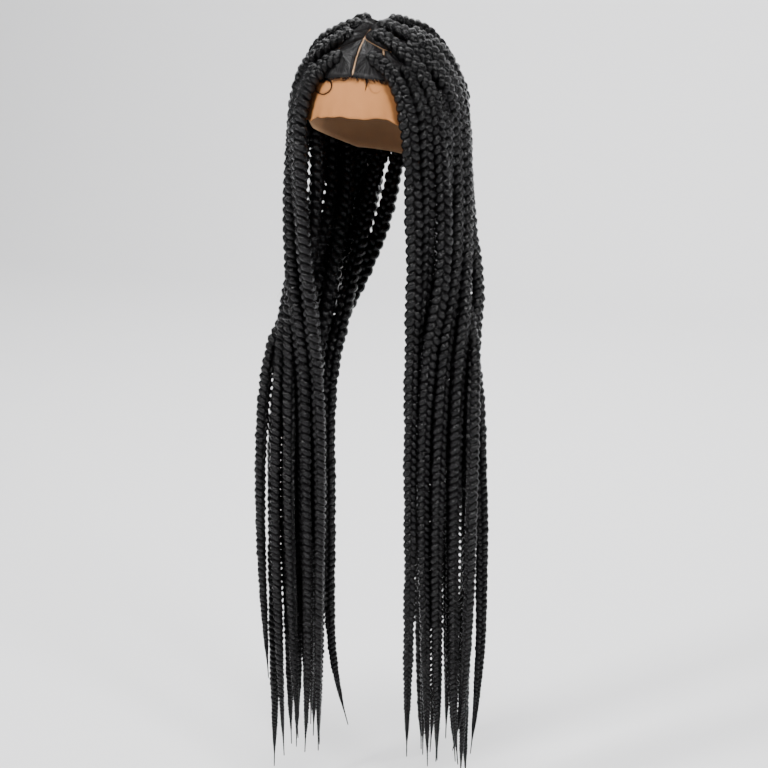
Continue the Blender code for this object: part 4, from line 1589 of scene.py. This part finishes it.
@dataclass
class Studio:
    """The pale room, its soft lights and the camera at the photograph's viewing angle."""

    floor_height: float = -0.862
    wall_back: float = 3.2
    bend: float = 0.60
    half_width: float = 4.0
    front: float = 3.6
    wall_top: float = 3.2
    bend_steps: int = 12
    paper: tuple[float, float, float] = (0.80, 0.80, 0.81)
    paper_roughness: float = 0.95
    lamps: tuple[Lamp, ...] = (
        Lamp("key_softbox", (-1.3, -2.0, 0.9), (0.42, 0.55), 92.0),
        Lamp("fill_softbox", (1.9, -1.5, 0.3), (0.40, 0.60), 56.0),
        Lamp("top_softbox", (0.2, -0.5, 1.9), (0.60, 0.45), 54.0),
        Lamp("back_softbox", (-0.6, 1.0, 1.7), (1.6, 0.8), 30.0),
        Lamp("wall_softbox", (0.0, 1.2, 2.0), (2.6, 0.5), 150.0, (0.0, 3.2, -0.2)),
    )
    air: tuple[float, float, float] = (0.86, 0.88, 0.92)
    air_strength: float = 0.06
    azimuth: float = 20.0
    elevation: float = 14.0
    distance: float = 2.5
    aim_height: float = -0.384
    aim_right: float = 0.0059
    metres_a_pixel: float = 0.00108
    pixels: int = 768
    sensor: float = 36.0
    clip: tuple[float, float] = (0.05, 20.0)

    def build(self) -> None:
        """Makes the room, the lights and the camera."""
        self.room()
        for lamp in self.lamps:
            lamp.build()
        world = bpy.data.worlds.new("studio_air")
        world.use_nodes = True
        world.node_tree.nodes["Background"].inputs["Color"].default_value = (*self.air, 1.0)
        world.node_tree.nodes["Background"].inputs["Strength"].default_value = self.air_strength
        bpy.context.scene.world = world
        self.camera()

    def room(self) -> None:
        """A pale floor that bends up into the wall behind."""
        profile = [(-self.front, self.floor_height)]
        for step in range(self.bend_steps + 1):
            turn = math.pi / 2 * step / self.bend_steps
            y = self.wall_back - self.bend + self.bend * math.sin(turn)
            profile.append((y, self.floor_height + self.bend - self.bend * math.cos(turn)))
        profile.append((self.wall_back, self.wall_top))
        line = np.array(profile)
        edges = (-self.half_width, self.half_width)
        grid = np.stack([np.column_stack([np.full(len(line), x), line]) for x in edges], 1)
        draft = MeshDraft()
        draft.grid(grid, grid[..., :2], closed=False)
        paint = Paint("studio_paper")
        paint.shader.inputs["Base Color"].default_value = (*self.paper, 1.0)
        paint.shader.inputs["Roughness"].default_value = self.paper_roughness
        draft.object("studio_floor", [paint.material])

    def camera(self) -> None:
        """Adds the camera."""
        a, e = math.radians(self.azimuth), math.radians(self.elevation)
        back = Vector((math.sin(a) * math.cos(e), -math.cos(a) * math.cos(e), math.sin(e)))
        right = Vector((math.cos(a), math.sin(a), 0.0))
        data = bpy.data.cameras.new("view")
        data.sensor_width = self.sensor
        data.lens = self.distance / self.metres_a_pixel / self.pixels * self.sensor
        data.clip_start, data.clip_end = self.clip
        camera = bpy.data.objects.new("view", data)
        aim = Vector((0.0, 0.0, self.aim_height)) + right * self.aim_right
        camera.location = aim + back * self.distance
        camera.rotation_euler = (-back).to_track_quat("-Z", "Y").to_euler()
        bpy.context.scene.collection.objects.link(camera)
        bpy.context.scene.camera = camera


@dataclass
class BraidWig:
    """The whole wig."""

    routes: Routes = field(default_factory=Routes)

    def braid(self, side: Side, number: int, route: np.ndarray, finishes: Finishes) -> None:
        """Makes one braid with the section of hair that it is gathered from.

        Args:
            side: The side it is on.
            number: Index of its plan.
            route: Its points.
            finishes: The materials.
        """
        plan, seed = PLANS[number], 2 * number + (side is Side.LEFT)
        draft = MeshDraft()
        HairSection(plan, side, self.routes, seed).add_to(draft, 1)
        Plait(route, self.routes.head, self.routes.sizes, seed).add_to(draft, 0)
        label = f"{side.label}_{number + 1:02d}"
        piece = draft.object(f"plait_{label}", [finishes.strands, finishes.combed])
        self.join(piece, "braid_hair", f"braid_{label}", f"hair_{label}")

    @staticmethod
    def join(piece: bpy.types.Object, slot: str, *nodes: str) -> None:
        """Puts a piece on the wig.

        Args:
            piece: The piece.
            slot: Not used.
            nodes: Starts of the names of the nodes that it stands for.
        """
        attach(piece, BODY)
        replaced = [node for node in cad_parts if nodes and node.startswith(nodes)]
        if replaced:
            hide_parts(*replaced)
        LOG.info("%s: %d faces", piece.name, len(piece.data.polygons))

    def build(self) -> None:
        """Makes every piece."""
        finishes = Finishes.make()
        lines = self.routes.all()
        self.join(LaceCap(self.routes).build(finishes.cap), "cap_lace", "lace_cap")
        front = ForeheadLace(self.routes)
        lace = front.build(finishes.forehead)
        self.join(lace, "forehead_lace", "lace_front")
        for (side, number), route in lines.items():
            self.braid(side, number, route, finishes)
        self.join(HairlineHairs(self.routes).build(finishes.strands), "braid_hair")
        self.join(LooseHairs(self.routes.sizes).build(lines, finishes.strands), "braid_hair")


def main() -> None:
    """Builds the room and the wig."""
    logging.basicConfig(level=logging.INFO)
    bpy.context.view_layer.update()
    Studio().build()
    BraidWig().build()


if __name__ == "__main__":
    main()
